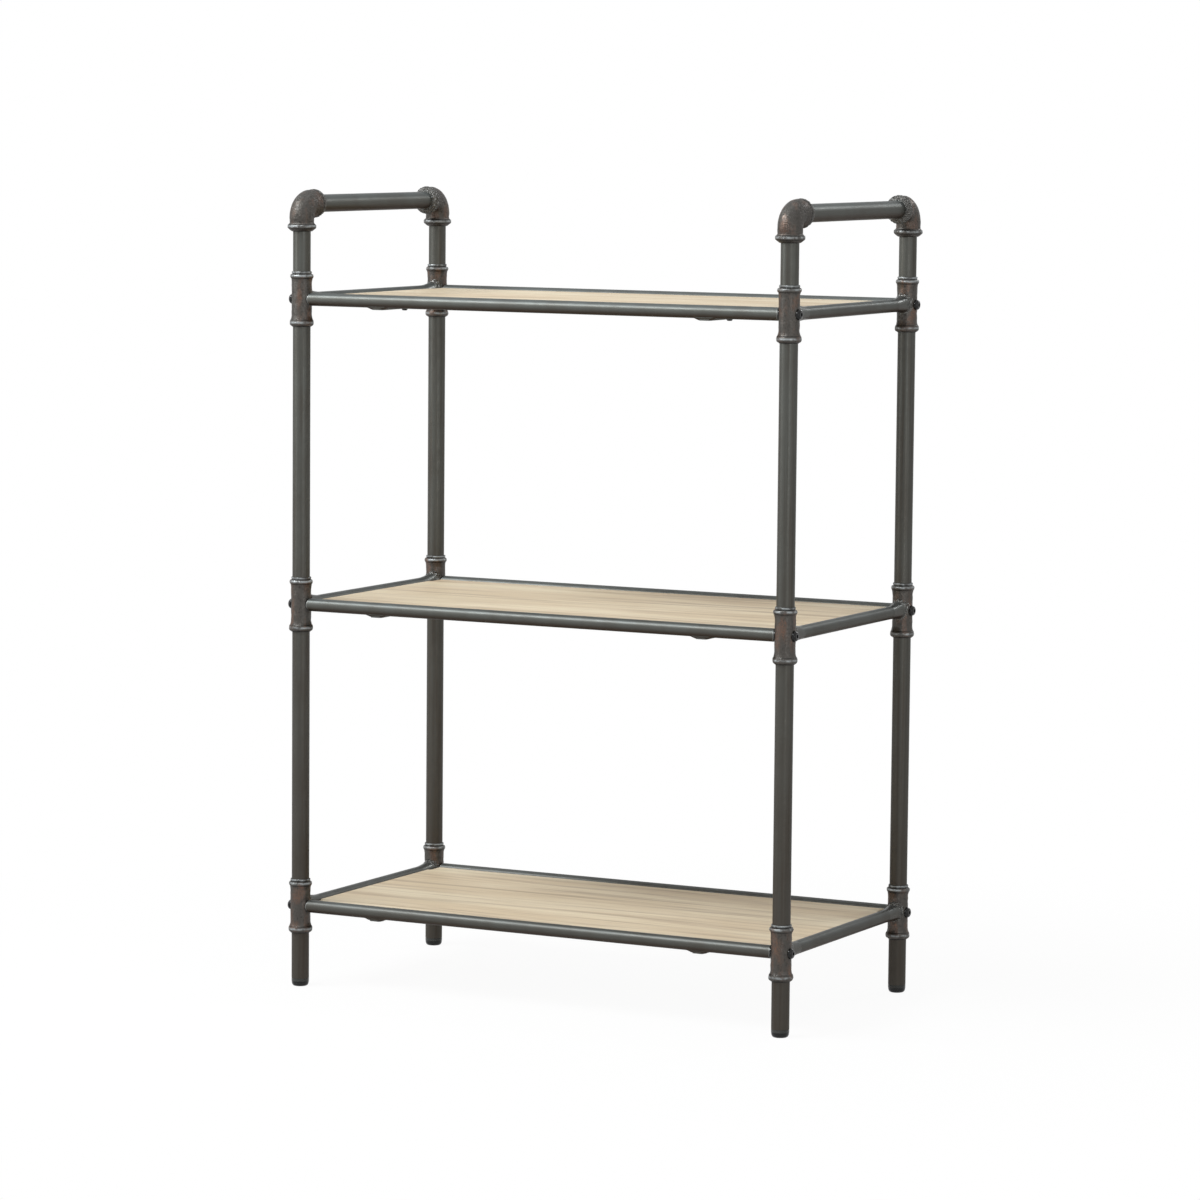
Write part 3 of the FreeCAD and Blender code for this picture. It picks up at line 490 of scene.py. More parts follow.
def casting_finish(tones):
    """Rough cast metal: sooty, brown with orange flecks where it is rubbed, with painted shade in its
    creases.

    The crowns of the beads carry a painted highlight of bluish metal, and welds are shinier, with pale
    scratches that are partly worn metal and partly painted glints. The piece's own attributes say
    where: rub, weld, coarse, cast, crease (painted shade) and crown (painted highlight).
    """
    nodes = Nodes("shelf_casting", 0.34, metallic=0.5, specular=0.15, edge=0.4,
                  coat=0.12, coat_roughness=0.14)
    # painted light: lighter tops, shaded undersides and a little darkening near the floor
    tone = pipe_tone(nodes, tones, 0.25)
    cast = nodes.own("cast")
    tone = nodes.mix(nodes.times(cast, 0.8), tone, tones.casting)
    soot = nodes.between(nodes.noise(2.4 * MM, 5, (1, 1, 1.5), 0.65, shift=(6, 1, 3)), 0.5, 0.68)
    soot = nodes.times(soot, cast)
    tone = nodes.mix(nodes.times(soot, 0.45), tone, tones.black)
    crackle = nodes.noise(1.4 * MM, 5, (1, 1, 1.6), 0.65, warp=1.5)
    patch = nodes.noise(12 * MM, 3, (1, 1, 2.6))
    rub = nodes.times(nodes.own("rub"), nodes.between(patch, 0.44, 0.66))
    rub = nodes.times(rub, nodes.between(crackle, 0.38, 0.6, 0.05, 0.95))
    tone = nodes.mix(rub, tone, tones.copper)
    fleck = nodes.between(nodes.noise(2.2 * MM, 3, (1, 1, 2.0), shift=(3, 5, 7)), 0.62, 0.72)
    fleck = nodes.times(fleck, nodes.times(rub, 0.6))
    tone = nodes.mix(fleck, tone, tones.rust)
    # painted shade: creases and mouths darkened towards black
    tone = nodes.mix(nodes.times(nodes.own("crease"), 0.75), tone, tones.black)
    sand = nodes.noise(1.3 * MM, 3, rough=0.6)
    pits = nodes.between(nodes.cells(1.5 * MM), 0.1, 0.7)
    weld = nodes.own("weld")
    # pale scratches on the welds: partly worn metal, partly painted glints
    scratch_and_glint = nodes.between(nodes.noise(0.9 * MM, 3, (1, 1, 1.6), shift=(2, 8, 4)), 0.42, 0.6)
    scratch_and_glint = nodes.times(scratch_and_glint, weld)
    tone = nodes.mix(nodes.times(scratch_and_glint, 0.95), tone, tones.wear_and_highlight)
    # painted highlight: bluish metal on the bead crowns, in patches
    crown = nodes.between(nodes.own("crown"), 0.1, 0.9)
    crown = nodes.times(crown, nodes.between(nodes.noise(7 * MM, 5), 0.38, 0.6, 0.12, 1.0))
    tone = nodes.mix(crown, tone, tones.crown_highlight)
    gloss = nodes.bump(nodes.noise(3 * MM, 2), 0.12 * MM)
    relief = nodes.calc("ADD", nodes.times(cast, 0.09 * MM), nodes.times(weld, 0.5 * MM))
    normal = nodes.bump(sand, nodes.calc("ADD", 0.01 * MM, relief))
    normal = nodes.bump(pits, nodes.times(nodes.own("coarse"), 0.42 * MM), normal)
    rough = nodes.between(nodes.noise(6 * MM, 4), 0.3, 0.7, 0.27, 0.42)
    rough = nodes.calc("SUBTRACT", rough, nodes.times(weld, 0.12))
    return nodes.done(tone, normal, rough, gloss)


def rail_finish(tones):
    """The same paint on level tubes, with a painted highlight in pale metal along the thin edge of each
    coped end.
    """
    nodes = Nodes("shelf_rail", 0.32, metallic=0.5, specular=0.15, edge=0.4)
    # painted light: lighter tops, shaded undersides and a little darkening near the floor
    tone = pipe_tone(nodes, tones, 0.25)
    place = nodes.split(nodes.object_place)
    post = joint_place("front", "right", "bottom")
    across = nodes.calc("SUBTRACT", nodes.calc("ABSOLUTE", place[0]), float(post[0]))
    beside = nodes.calc("SUBTRACT", nodes.calc("ABSOLUTE", place[1]), float(abs(post[1])))
    squares = nodes.calc("ADD", nodes.times(across, across), nodes.times(beside, beside))
    reach = nodes.calc("SQRT", squares)
    ragged = nodes.calc("ADD", reach, nodes.times(nodes.noise(1.5 * MM), 0.8 * MM))
    plain, wear_and_highlight = 15.6 * MM, 14.7 * MM  # from the post axis
    # painted highlight: a pale rim along each coped end
    edge = nodes.between(ragged, plain, wear_and_highlight, 0.0, 0.5)
    tone = nodes.mix(edge, tone, tones.wear_and_highlight)
    normal = nodes.bump(nodes.noise(45 * MM, 2), 0.15 * MM)
    normal = nodes.bump(nodes.noise(0.9 * MM, 2), 0.018 * MM, normal)
    rough = nodes.between(nodes.noise(30 * MM, 3), 0.3, 0.7, 0.38, 0.43)
    return nodes.done(tone, normal, rough)


def board_finish(tones):
    """Bleached oak: long soft streaks along X over fine threads and pores."""
    nodes = Nodes("shelf_board", 0.62, specular=0.35)
    flow = nodes.noise(60 * MM, 2, (5, 1, 1), shift=(1, 2, 3))
    broad = nodes.noise(16 * MM, 3, (16, 1, 1), 0.5, shift=(4, 1, 6), warp=0.3)
    fine = nodes.noise(3.2 * MM, 5, (48, 1, 1), 0.65, warp=0.3)
    pores = nodes.noise(1.3 * MM, 4, (45, 1, 1), 0.65)
    tone = nodes.mix(nodes.between(flow, 0.35, 0.7), tones.board, tones.board_pale)
    shade = nodes.between(broad, 0.45, 0.75, 0.0, 0.62)
    tone = nodes.mix(shade, tone, tones.board_dark)
    thread = nodes.calc("ADD", 0.38, shade)
    tone = nodes.mix(nodes.times(nodes.between(fine, 0.48, 0.7), thread), tone, tones.board_dark)
    tone = nodes.mix(nodes.between(pores, 0.52, 0.72, 0.0, 0.45), tone, tones.board_dark)
    normal = nodes.bump(pores, 0.05 * MM)
    rough = nodes.between(fine, 0.3, 0.7, 0.55, 0.7)
    return nodes.done(tone, normal, rough)


def black_finish(tones):
    """Glossy black with a little wear and faint ripples."""
    nodes = Nodes("shelf_black", 0.2, specular=0.12, edge=0.4, coat=0.4, coat_roughness=0.04)
    wear = nodes.between(nodes.noise(2 * MM, 5, rough=0.7), 0.62, 0.75, 0.0, 0.12)
    tone = nodes.mix(wear, tones.black, tones.wear_and_highlight)
    normal = nodes.bump(nodes.noise(0.8 * MM, 2), 0.02 * MM)
    rough = nodes.between(nodes.noise(3 * MM, 4), 0.35, 0.7, 0.12, 0.3)
    return nodes.done(tone, normal, rough)


def glide_finish(tones):
    """Glossy black plastic, scuffed in thin lines, with a painted reflection: a greyer band under the
    pipe.
    """
    nodes = Nodes("shelf_glide", 0.2, specular=0.25)
    line = nodes.noise(1.2 * MM, 2, (8, 8, 0.6), shift=(9, 2, 4), warp=0.8)
    scuff = nodes.between(line, 0.66, 0.72, 0.0, 0.4)
    reflection_low, reflection_high = 5.6 * MM, 7.2 * MM  # above the floor
    # painted reflection: pipe grey mixed into the black in a band under the pipe
    band = nodes.between(nodes.height(), reflection_low, reflection_high, 0.0, 0.5)
    tone = nodes.mix(scuff, nodes.mix(band, tones.black, tones.pipe), tones.wear_and_highlight)
    normal = nodes.bump(nodes.noise(1.5 * MM, 3), 0.03 * MM)
    rough = nodes.between(nodes.noise(4 * MM, 4), 0.35, 0.7, 0.16, 0.36)
    return nodes.done(tone, normal, rough)


def steel_finish(tones):
    """Turned steel with fine rings."""
    nodes = Nodes("shelf_steel", 0.3, metallic=1.0)
    rings = nodes.noise(0.4 * MM, 2, (1, 20, 20))
    tone = nodes.mix(nodes.between(rings, 0.3, 0.7, 0.0, 0.3), tones.steel, tones.wear_and_highlight)
    return nodes.done(tone, nodes.bump(rings, 0.02 * MM))


FINISHES = {
    "shelf_pipe": pipe_finish,
    "shelf_casting": casting_finish,
    "shelf_rail": rail_finish,
    "shelf_board": board_finish,
    "shelf_black": black_finish,
    "shelf_glide": glide_finish,
    "shelf_steel": steel_finish,
}


def finish(name):
    """A finish by name, made on first use."""
    if name not in bpy.data.materials:
        FINISHES[name](bpy.context.scene.shelf_finishes)
    return bpy.data.materials[name]


def coat(node, name):
    """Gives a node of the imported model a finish."""
    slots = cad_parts[node].data.materials
    slots.clear()
    slots.append(finish(name))


# ------------------------------------------------------------------------ tee
def bead_radius(height, crown_height, crown, bead_height, below, above):
    """Half an ellipse of the bead's height, standing on a base that goes from below to above."""
    across = (height - crown_height) / (bead_height / 2)
    base = below + (above - below) * (across + 1) / 2
    return base + (crown - base) * np.sqrt(np.clip(1 - across**2, 0, 1))


def flare(distance, reach, width):
    """Widens by a squared ramp: all of width at distance 0 and nothing at reach."""
    return width * np.clip(1 - distance / reach, 0, 1) ** 2


def barrel_profile(tee, rise, drop):
    """Radii and heights of a tee's outside, from its lower mouth to its upper one.

    Between the beads the radius is the barrel's plus a squared flare at each end. A bead
    is half an ellipse. Beyond a bead the end is straight, with a round lip at the top.
    """
    bead_rings, waist_rings = 15, 58
    shoulder_low = tee.lower_bead_radius - tee.bead_shoulder
    shoulder_high = tee.upper_bead_radius - tee.bead_shoulder
    half_low = tee.lower_bead_height / 2
    half_high = tee.upper_bead_height / 2
    arc = np.sin(np.linspace(-np.pi / 2, np.pi / 2, bead_rings))
    low_bead = -tee.lower_bead_drop + half_low * arc
    high_bead = tee.upper_bead_rise + half_high * arc
    waist = np.linspace(low_bead[-1], high_bead[0], waist_rings)[1:-1]
    lip = rise - tee.lip_height / 2 + tee.lip_height / 2 * arc[::2]
    waist_radius = (
        tee.barrel_radius
        + flare(waist - low_bead[-1], tee.bead_flare, shoulder_low - tee.barrel_radius)
        + flare(high_bead[0] - waist, tee.bead_flare, shoulder_high - tee.barrel_radius)
    )
    lip_radius = tee.end_radius + (tee.lip_radius - tee.end_radius) * np.cos(arc[::2] * np.pi / 2)
    heights = [[-drop], low_bead, waist, high_bead, [rise - tee.lip_height], lip]
    radii = [
        [tee.end_radius],
        bead_radius(low_bead, -tee.lower_bead_drop, tee.lower_bead_radius,
                    tee.lower_bead_height, tee.end_radius, shoulder_low),
        waist_radius,
        bead_radius(high_bead, tee.upper_bead_rise, tee.upper_bead_radius,
                    tee.upper_bead_height, shoulder_high, tee.end_radius),
        [tee.end_radius],
        lip_radius,
    ]
    return np.concatenate(radii), np.concatenate(heights)


def tee_barrel(tee, rise, drop, socket, bolt_side, seed):
    """The barrel: its outside, then back down through the sockets and the bore.

    The outside is a surface of revolution, pushed out along its normals by soft lumps,
    and cut flat where the bolt head sits. With the shell come three numbers per point: how
    rubbed it is, how near to a crease, for painted shade, and how near to a crown, for a painted
    highlight.
    """
    broad, fine = 9 * MM, 3.5 * MM  # lengths of the lumps
    rub_fade, highlight_reach = 6 * MM, 2.2 * MM
    highlight_lift = 0.7 * MM  # the painted highlight lies this far above a bead's middle
    radii, heights = barrel_profile(tee, rise, drop)
    outside = revolve(radii, heights, TEE_POINTS)
    uneven = lumps(outside, broad, seed) + 0.5 * lumps(outside, fine, seed + 1)
    outside = outside + normals(outside) * (uneven * tee.casting_lumps)[..., None]
    beside_bolt = np.hypot(outside[..., 1], outside[..., 2]) < tee.bolt_seat_radius
    outward = outside[..., 0] * bolt_side
    flat = beside_bolt & (outward > tee.bolt_seat)
    outside[..., 0] = np.where(flat, bolt_side * tee.bolt_seat, outside[..., 0])
    upper_floor, lower_floor = rise - tee.socket_depth, tee.socket_depth - drop
    seats = [rise, upper_floor, upper_floor, lower_floor, lower_floor, -drop]
    bores = [socket, socket, tee.bore_radius, tee.bore_radius, socket, socket]
    inside = revolve(bores, seats, TEE_POINTS)
    rings = np.concatenate([outside, inside])
    is_outside = (np.arange(len(rings)) < len(outside))[:, None]
    rub = ease((drop - np.abs(rings[..., 2])) / rub_fade) * is_outside
    low, high = -tee.lower_bead_drop, tee.upper_bead_rise
    half_low, half_high = tee.lower_bead_height / 2, tee.upper_bead_height / 2
    # painted shade: darkest at the bead edges, the lip and the mouths
    joints = [-drop, low - half_low, low + half_low, high - half_high, high + half_high,
              rise - tee.lip_height, rise]
    crease = near(rings[..., 2], joints) * is_outside
    # painted highlight: a line just above each bead's middle and round the lip
    highlight_rings = [low + highlight_lift, high + highlight_lift, rise - tee.lip_height / 2]
    crown = near(rings[..., 2], highlight_rings, highlight_reach) * is_outside
    return ring_shell(rings, looped=True), rub.ravel(), crease.ravel(), crown.ravel()


def tee_branch(tee, rail, spigot, end, seed):
    """The branch along +Y: spigot, swelling neck and the weld that runs onto the barrel.

    Neck: at each angle its radius is the rail's, plus a swell that grows as a power of the
    distance from its start and is larger on top. Root: a quadratic curve from the neck,
    through the corner where it meets the barrel, to the barrel, so it leaves both without
    a kink. Ripples then push the root out along its normals. With the shell comes one
    number per point: how much it is weld.
    """
    neck_count, root_count, weld_count = 26, 15, 7
    swell_power, top_power = 1.5, 1.3
    seam_share, landing_share = 0.93, 0.95  # of the barrel's radius, sideways at most
    broad, fine = 2.6 * MM, 1.3 * MM  # lengths of the ripples
    seam_gap = 2.2 * MM  # from the neck's last ring to the seam
    sunk = 0.15 * MM  # how far the weld's edge lies inside the barrel
    cap = 1.4 * MM  # how far the last ring lies inside that edge
    turn = around(TEE_POINTS)
    side, top = np.cos(turn), np.sin(turn)
    widest = tee.branch_swell + tee.branch_rise * np.clip(top, 0, 1) ** top_power
    wander = 1 + 0.12 * lumps(np.stack([side, top, 0 * turn], -1), 1.5, seed)

    def neck(distance):
        """The neck's radius at a distance from the post axis."""
        grown = np.clip((tee.branch_start - distance) / (tee.branch_start - tee.barrel_radius), 0, 1)
        return rail + TUBE_CLEARANCE + widest * wander * grown**swell_power

    root = neck(tee.barrel_radius)
    sideways = np.minimum(root * np.abs(side), seam_share * tee.barrel_radius)
    seam = np.sqrt(tee.barrel_radius**2 - sideways**2)
    start = seam + seam_gap
    along = np.linspace(0, 1, neck_count)[:, None]
    distance = tee.branch_start + (start - tee.branch_start) * along
    radius = neck(distance)
    neck_rings = np.stack([radius * side, distance, radius * top], -1)
    reach = tee.weld_reach * (0.35 + 0.65 * np.abs(top)) * wander
    climb = np.minimum((root + reach) * np.abs(side), landing_share * tee.barrel_radius)
    first = neck_rings[-1]
    corner = np.stack([root * side, seam, root * top], -1)
    touch = np.sqrt(tee.barrel_radius**2 - climb**2) - sunk
    landing = np.stack([np.sign(side) * climb, touch, (root + reach) * top], -1)
    bend = np.linspace(0, 1, root_count)[1:, None, None]
    root_rings = (1 - bend) ** 2 * first + 2 * bend * (1 - bend) * corner + bend**2 * landing
    inner = landing * [0.8, 1, 0.8] - [0, cap, 0]
    front = np.stack([0 * turn + spigot * side, 0 * turn + tee.branch_start, spigot * top], -1)
    tip = front * [1, 0, 1] + [0, end, 0]
    rings = np.concatenate([[tip], [front], neck_rings, root_rings, [inner]])
    ring_no = np.arange(len(rings))
    weld_start, weld_end = 2 + neck_count - weld_count, len(rings) - 2
    weld = ease((ring_no - weld_start) / (weld_count - 1)) * (ring_no <= weld_end)
    weld = weld[:, None] * (0.45 + 0.55 * np.clip(top + 0.3, 0, 1)) * (1 + 0 * turn)
    ripple = lumps(rings, broad, seed + 3) + 0.6 * lumps(rings, fine, seed + 4)
    rings = rings + normals(rings) * (ripple * weld * tee.weld_ripple)[..., None]
    return ring_shell(rings), weld.ravel()


def cast_tee(depth, side, level, tee):
    """One tee, made at the origin, then turned and moved to its place."""
    node = f"{depth}_{side}_{level}_tee"
    place = joint_place(depth, side, level)
    low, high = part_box(node)
    half_turn = -1 if depth == "rear" else 1
    bolt_side = (1 if side == "right" else -1) * half_turn
    seed = 100 * CORNERS.index((depth, side)) + 10 * LEVELS.index(level)
    rail = outer_radius(f"{side}_{level}_side_rail")
    reach = max(abs(low[1] - place[1]), abs(high[1] - place[1]))
    post = outer_radius(f"{depth}_{side}_leg_pipe")
    barrel, rub, crease, crown = tee_barrel(
        tee, high[2] - place[2], place[2] - low[2], post + TUBE_CLEARANCE, bolt_side, seed
    )
    branch, weld = tee_branch(tee, rail, rail - SPIGOT_STEP, reach, seed)
    turned = [half_turn, half_turn, 1]
    shells = [(points * turned + place, *faces) for points, *faces in (barrel, branch)]
    # crease carries painted shade into the material, crown a painted highlight
    barrel_and_branch = {
        "rub": (rub, 0.4 * weld),
        "weld": (0 * rub, weld),
        "coarse": (0.25 + 0 * rub, 0.3 * weld),
        "cast": (1 + 0 * rub, weld),
        "crease": (crease, 0 * weld),
        "crown": (crown, 0 * weld),
    }
    poles = np.zeros(2)
    attributes = {
        label: np.concatenate([*parts, poles]) for label, parts in barrel_and_branch.items()
    }
    piece(f"cast_{node}", shells, finish("shelf_casting"), node, attributes)


# ---------------------------------------------------------------------- elbow
def elbow_radius(distance, elbow, body_flare):
    """Outside radius at a distance from a mouth: cone, band, flare, then body.

    The cone widens by a power of the distance, the band is half an ellipse and the flare is
    a squared ramp.
    """
    crown = elbow.bead_inset
    half = elbow.bead_height / 2
    shoulder = elbow.bead_radius - elbow.bead_shoulder
    cone = elbow.mouth_radius + (shoulder - elbow.mouth_radius) * (distance / (crown - half)) ** 0.8
    band = bead_radius(distance, crown, elbow.bead_radius, elbow.bead_height, shoulder, shoulder)
    body = elbow.body_radius + flare(distance - crown - half, body_flare, shoulder - elbow.body_radius)
    return np.where(distance < crown - half, cone, np.where(distance < crown + half, band, body))


def elbow_path(distance, straight, bend):
    """Points and directions at distances from the lower mouth.

    The path is a line up, a quarter circle and a line along +Y.
    """
    turned = np.clip((distance - straight) / bend, 0, np.pi / 2)
    on_leg = np.minimum(distance, straight)
    on_arm = np.maximum(distance - straight - bend * np.pi / 2, 0)
    across = bend * (1 - np.cos(turned)) + on_arm
    up = on_leg - straight + bend * np.sin(turned) - bend
    direction = np.stack([0 * turned, np.sin(turned), np.cos(turned)], -1)
    return np.stack([0 * turned, across, up], -1), direction


def swept(distance, radii, straight, bend, points):
    """Circles of the given radii, square to the elbow's path at each distance."""
    centres, direction = elbow_path(distance, straight, bend)
    sideways = np.array([1.0, 0.0, 0.0])
    upward = np.cross(direction, sideways)
    turn = around(points)[:, None]
    circle = np.cos(turn) * sideways + np.sin(turn) * upward[:, None, :]
    return centres[:, None, :] + circle * radii[:, None, None]


def cast_elbow(depth, side, elbow):
    """One elbow: a circle whose radius follows the bands, carried down the leg, bend and arm.

    The outside of the bend swells by how much its normal faces away from the bend's middle.
    Sand texture and the rough ring at the arm's mouth are sums of sines that push the
    surface along its normals, inwards only on the bands and nearly so on the body.
    """
    half_count, bore_count = 70, 24
    coarse_sand, fine_sand, crumbs = 4.5 * MM, 1.7 * MM, 3.2 * MM  # lengths of the sines
    waves = 30  # how many sines make the finer textures
    swell_start, swell_fade = 9 * MM, 9 * MM  # from a mouth
    body_start, body_fade = 8 * MM, 4 * MM  # from a mouth
    ring_width, ring_fade = 10 * MM, 3 * MM  # of the rough ring
    highlight_lift, highlight_reach = 0.5 * MM, 2.4 * MM  # of the painted highlight, from the band's crown
    most_out = 0.15 * MM
    node = f"{depth}_{side}_elbow"
    rear = depth == "rear"
    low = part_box(node)[0]
    bar = middle(f"{side}_handle_bar")
    place = np.array([bar[0], joint_place(depth, side, "top")[1], bar[2]])
    reach = place[2] - low[2]
    straight = reach - elbow.bend_radius
    total = 2 * straight + elbow.bend_radius * np.pi / 2
    steps = np.linspace(0, 1, half_count) ** 1.25 * total / 2  # closer together at the mouths
    outward = np.concatenate([steps, total - steps[-2::-1]])
    radii = np.where(
        outward < total / 2,
        elbow_radius(outward, elbow, elbow.bead_flare),
        elbow_radius(total - outward, elbow, elbow.arm_flare),
    )
    outside = swept(outward, radii, straight, elbow.bend_radius, ELBOW_POINTS)
    direction = elbow_path(outward, straight, elbow.bend_radius)[1]
    outer_side = np.stack([0 * outward, -direction[:, 2], direction[:, 1]], -1)
    facing = np.clip((normals(outside) * outer_side[:, None, :]).sum(-1), 0, 1)
    from_mouth = np.minimum(outward, total - outward)
    in_bend = ease((from_mouth - swell_start) / swell_fade)[:, None]
    outside = outside + outer_side[:, None, :] * (facing * in_bend * elbow.outer_swell)[..., None]
    seed = 1000 + 10 * CORNERS.index((depth, side))
    near_arm = ease((outward - 0.55 * total) / (0.3 * total))[:, None]
    coarse = 0.6 + (0.4 if rear else 0.3) * near_arm + 0 * outside[..., 0]
    grain = elbow.casting_lumps * lumps(outside, coarse_sand, seed) * (0.5 + coarse)
    grain += elbow.casting_grain * lumps(outside, fine_sand, seed + 1, waves) * coarse * 1.6
    mouth = ease((outward - total + ring_width) / ring_fade)[:, None] * (1.0 if rear else 0.85)
    grain += elbow.mouth_crumble * mouth * (0.4 + 0.6 * lumps(outside, crumbs, seed + 2, waves))
    on_body = ease((from_mouth - body_start) / body_fade)[:, None]
    grain = np.maximum(grain, -most_out * on_body)
    outside = outside - normals(outside) * grain[..., None]
    socket = outer_radius(f"{side}_handle_bar") + TUBE_CLEARANCE
    ends = elbow.socket_depth
    bore = np.linspace(total - ends, ends, bore_count)
    inward = np.concatenate([[total, total - ends], bore, [ends, 0]])
    bores = np.array([socket, socket, *[elbow.bore_radius] * bore_count, socket, socket])
    inside = swept(inward, bores, straight, elbow.bend_radius, ELBOW_POINTS)
    rings = np.concatenate([outside, inside])
    points, *faces = ring_shell(rings, looped=True)
    half_turn = -1 if rear else 1
    shell = (points * [half_turn, half_turn, 1] + place, *faces)
    half = elbow.bead_height / 2
    # painted shade at the mouths and the band edges
    crease = near(from_mouth, [0, elbow.bead_inset - half, elbow.bead_inset + half])
    # painted highlight just above the lower band's crown
    crown = near(outward, [elbow.bead_inset + highlight_lift], highlight_reach)
    on_outside = {
        "rub": 0.75 * on_body, "weld": 0.4 * mouth, "coarse": coarse, "cast": 1,
        "crease": crease[:, None], "crown": crown[:, None],
    }
    padding = np.zeros(inside[..., 0].size)
    attributes = {
        label: np.concatenate([(values + 0 * coarse).ravel(), padding])
        for label, values in on_outside.items()
    }
    piece(f"cast_{node}", [shell], finish("shelf_casting"), node, attributes)


# ------------------------------------------------------------------ fasteners
def turned_shell(radii, heights, points, place, axis):
    """A closed shell of revolution about an axis: its rings, turned from Z and moved."""
    spin = np.array(Vector((0, 0, 1)).rotation_difference(Vector(axis)).to_matrix())
    return ring_shell(revolve(radii, heights, points) @ spin.T + place)


def hexagon(across, points):
    """Distance to a hexagon's edge at each angle: the apothem over the cosine to its side's middle."""
    turn = around(points)
    return across / 2 / np.cos((turn + np.pi / 6) % (np.pi / 3) - np.pi / 6)


def cross(reach, half_width, points):
    """Distance to a plus sign's edge at each angle.

    It is the half width over the sine of the angle to the nearest arm, up to the reach.
    """
    turn = around(points)
    nearest = np.minimum(np.abs(np.sin(turn)), np.abs(np.cos(turn)))
    return np.minimum(reach, half_width / np.maximum(nearest, 1e-6))


def dome(rim, crown, low, high, steps):
    """A quarter ellipse from the rim in to the crown: radii and heights."""
    turn = np.linspace(0, np.pi / 2, steps)
    return list(crown + (rim - crown) * np.cos(turn)), list(low + (high - low) * np.sin(turn))


def rail_bolt(depth, side, level, parts, head, seat, top, tip):
    """A dome head with a hexagon socket and a plain shank, turned about X."""
    place = joint_place(depth, side, level)
    sign = 1 if side == "right" else -1
    dome_radii, dome_heights = dome(head, parts.bolt_crown, seat + parts.bolt_rim, top, 9)
    socket = hexagon(parts.bolt_hex, FASTENER_POINTS)
    bevel = 0.25 * MM
    drill, drill_depth = 0.2 * MM, 0.5 * MM  # the point left by the drill under the hexagon
    shank = parts.bolt_shank
    radii = [shank, shank, head - bevel, head, *dome_radii, socket + bevel, socket, socket * 0.97, drill]
    floor = top - parts.bolt_hex_depth
    heights = [tip, seat, seat, seat + bevel, *dome_heights, top, top - bevel, floor, floor - drill_depth]
    centre = np.array([0.0, place[1], place[2]])
    return turned_shell(radii, heights, FASTENER_POINTS, centre, (sign, 0, 0))


def shelf_screw(x, y, parts, head, seat, crown, tip):
    """A pan head with a cross recess, pointing down, and its shank going up into the board."""
    rim, bevel, cross_bevel = 0.3 * MM, 0.2 * MM, 0.12 * MM
    point, point_length = 0.2 * MM, 2 * MM
    drill, drill_depth = 0.15 * MM, 0.2 * MM  # the point at the bottom of the cross
    dome_radii, dome_heights = dome(head, head * 0.55, -seat + rim, -crown, 8)
    recess = np.minimum(cross(parts.screw_cross, parts.screw_slot, FASTENER_POINTS), head * 0.5)
    shank = parts.screw_shank
    radii = [point, shank, shank, head - bevel, head, *dome_radii, recess + cross_bevel,
             recess, recess * 0.55, drill]
    floor = -crown - parts.screw_cross_depth
    heights = [-tip, -tip + point_length, -seat, -seat, -seat + bevel, *dome_heights, -crown,
               -crown - cross_bevel, floor, floor - drill_depth]
    return turned_shell(radii, heights, FASTENER_POINTS, np.array([x, y, 0.0]), (0, 0, -1))


def foot_glide(depth, side, parts):
    """A glide turned about Z: rounded tread, grooved rim and a plug up the pipe."""
    dimple = (3.9 * MM, 4 * MM, 4.3 * MM)  # hollow under the tread: its floor, wall and edge
    dimple_depth, dimple_bevel, tread_bevel = 2 * MM, 0.3 * MM, 0.4 * MM
    step, step_low, step_high = 0.25 * MM, 0.6 * MM, 0.85 * MM  # out to the rim, above the round
    groove_low, groove_high = 0.9 * MM, 0.7 * MM  # the groove's start, below the rim's top
    plug_bevel, plug_bevel_height = 0.8 * MM, 2.5 * MM
    node = f"{depth}_{side}_foot"
    low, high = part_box(node)
    place = middle(node)
    place[2] = 0
    rim = (high[0] - low[0]) / 2
    pipe_inside = rim - PLUG_STEP
    arc = np.linspace(0, np.pi / 2, 9)
    side_radius = rim - step
    round_radii = parts.foot_tread + (side_radius - parts.foot_tread) * np.sin(arc)
    round_heights = parts.foot_round * (1 - np.cos(arc))
    top = parts.foot_height
    groove = parts.foot_groove
    radii = [*dimple, parts.foot_tread - tread_bevel, *round_radii, side_radius, rim, rim,
             rim - groove, rim - groove, pipe_inside, pipe_inside, pipe_inside - plug_bevel]
    heights = [dimple_depth, dimple_bevel, 0, 0, *round_heights, parts.foot_round + step_low,
               parts.foot_round + step_high, top - groove_low, top - groove_high, top, top,
               high[2] - plug_bevel_height, high[2]]
    shell = turned_shell(radii, heights, FOOT_POINTS, place, (0, 0, 1))
    piece(f"glide_{node}", [shell], finish("shelf_glide"), node, crease=40)


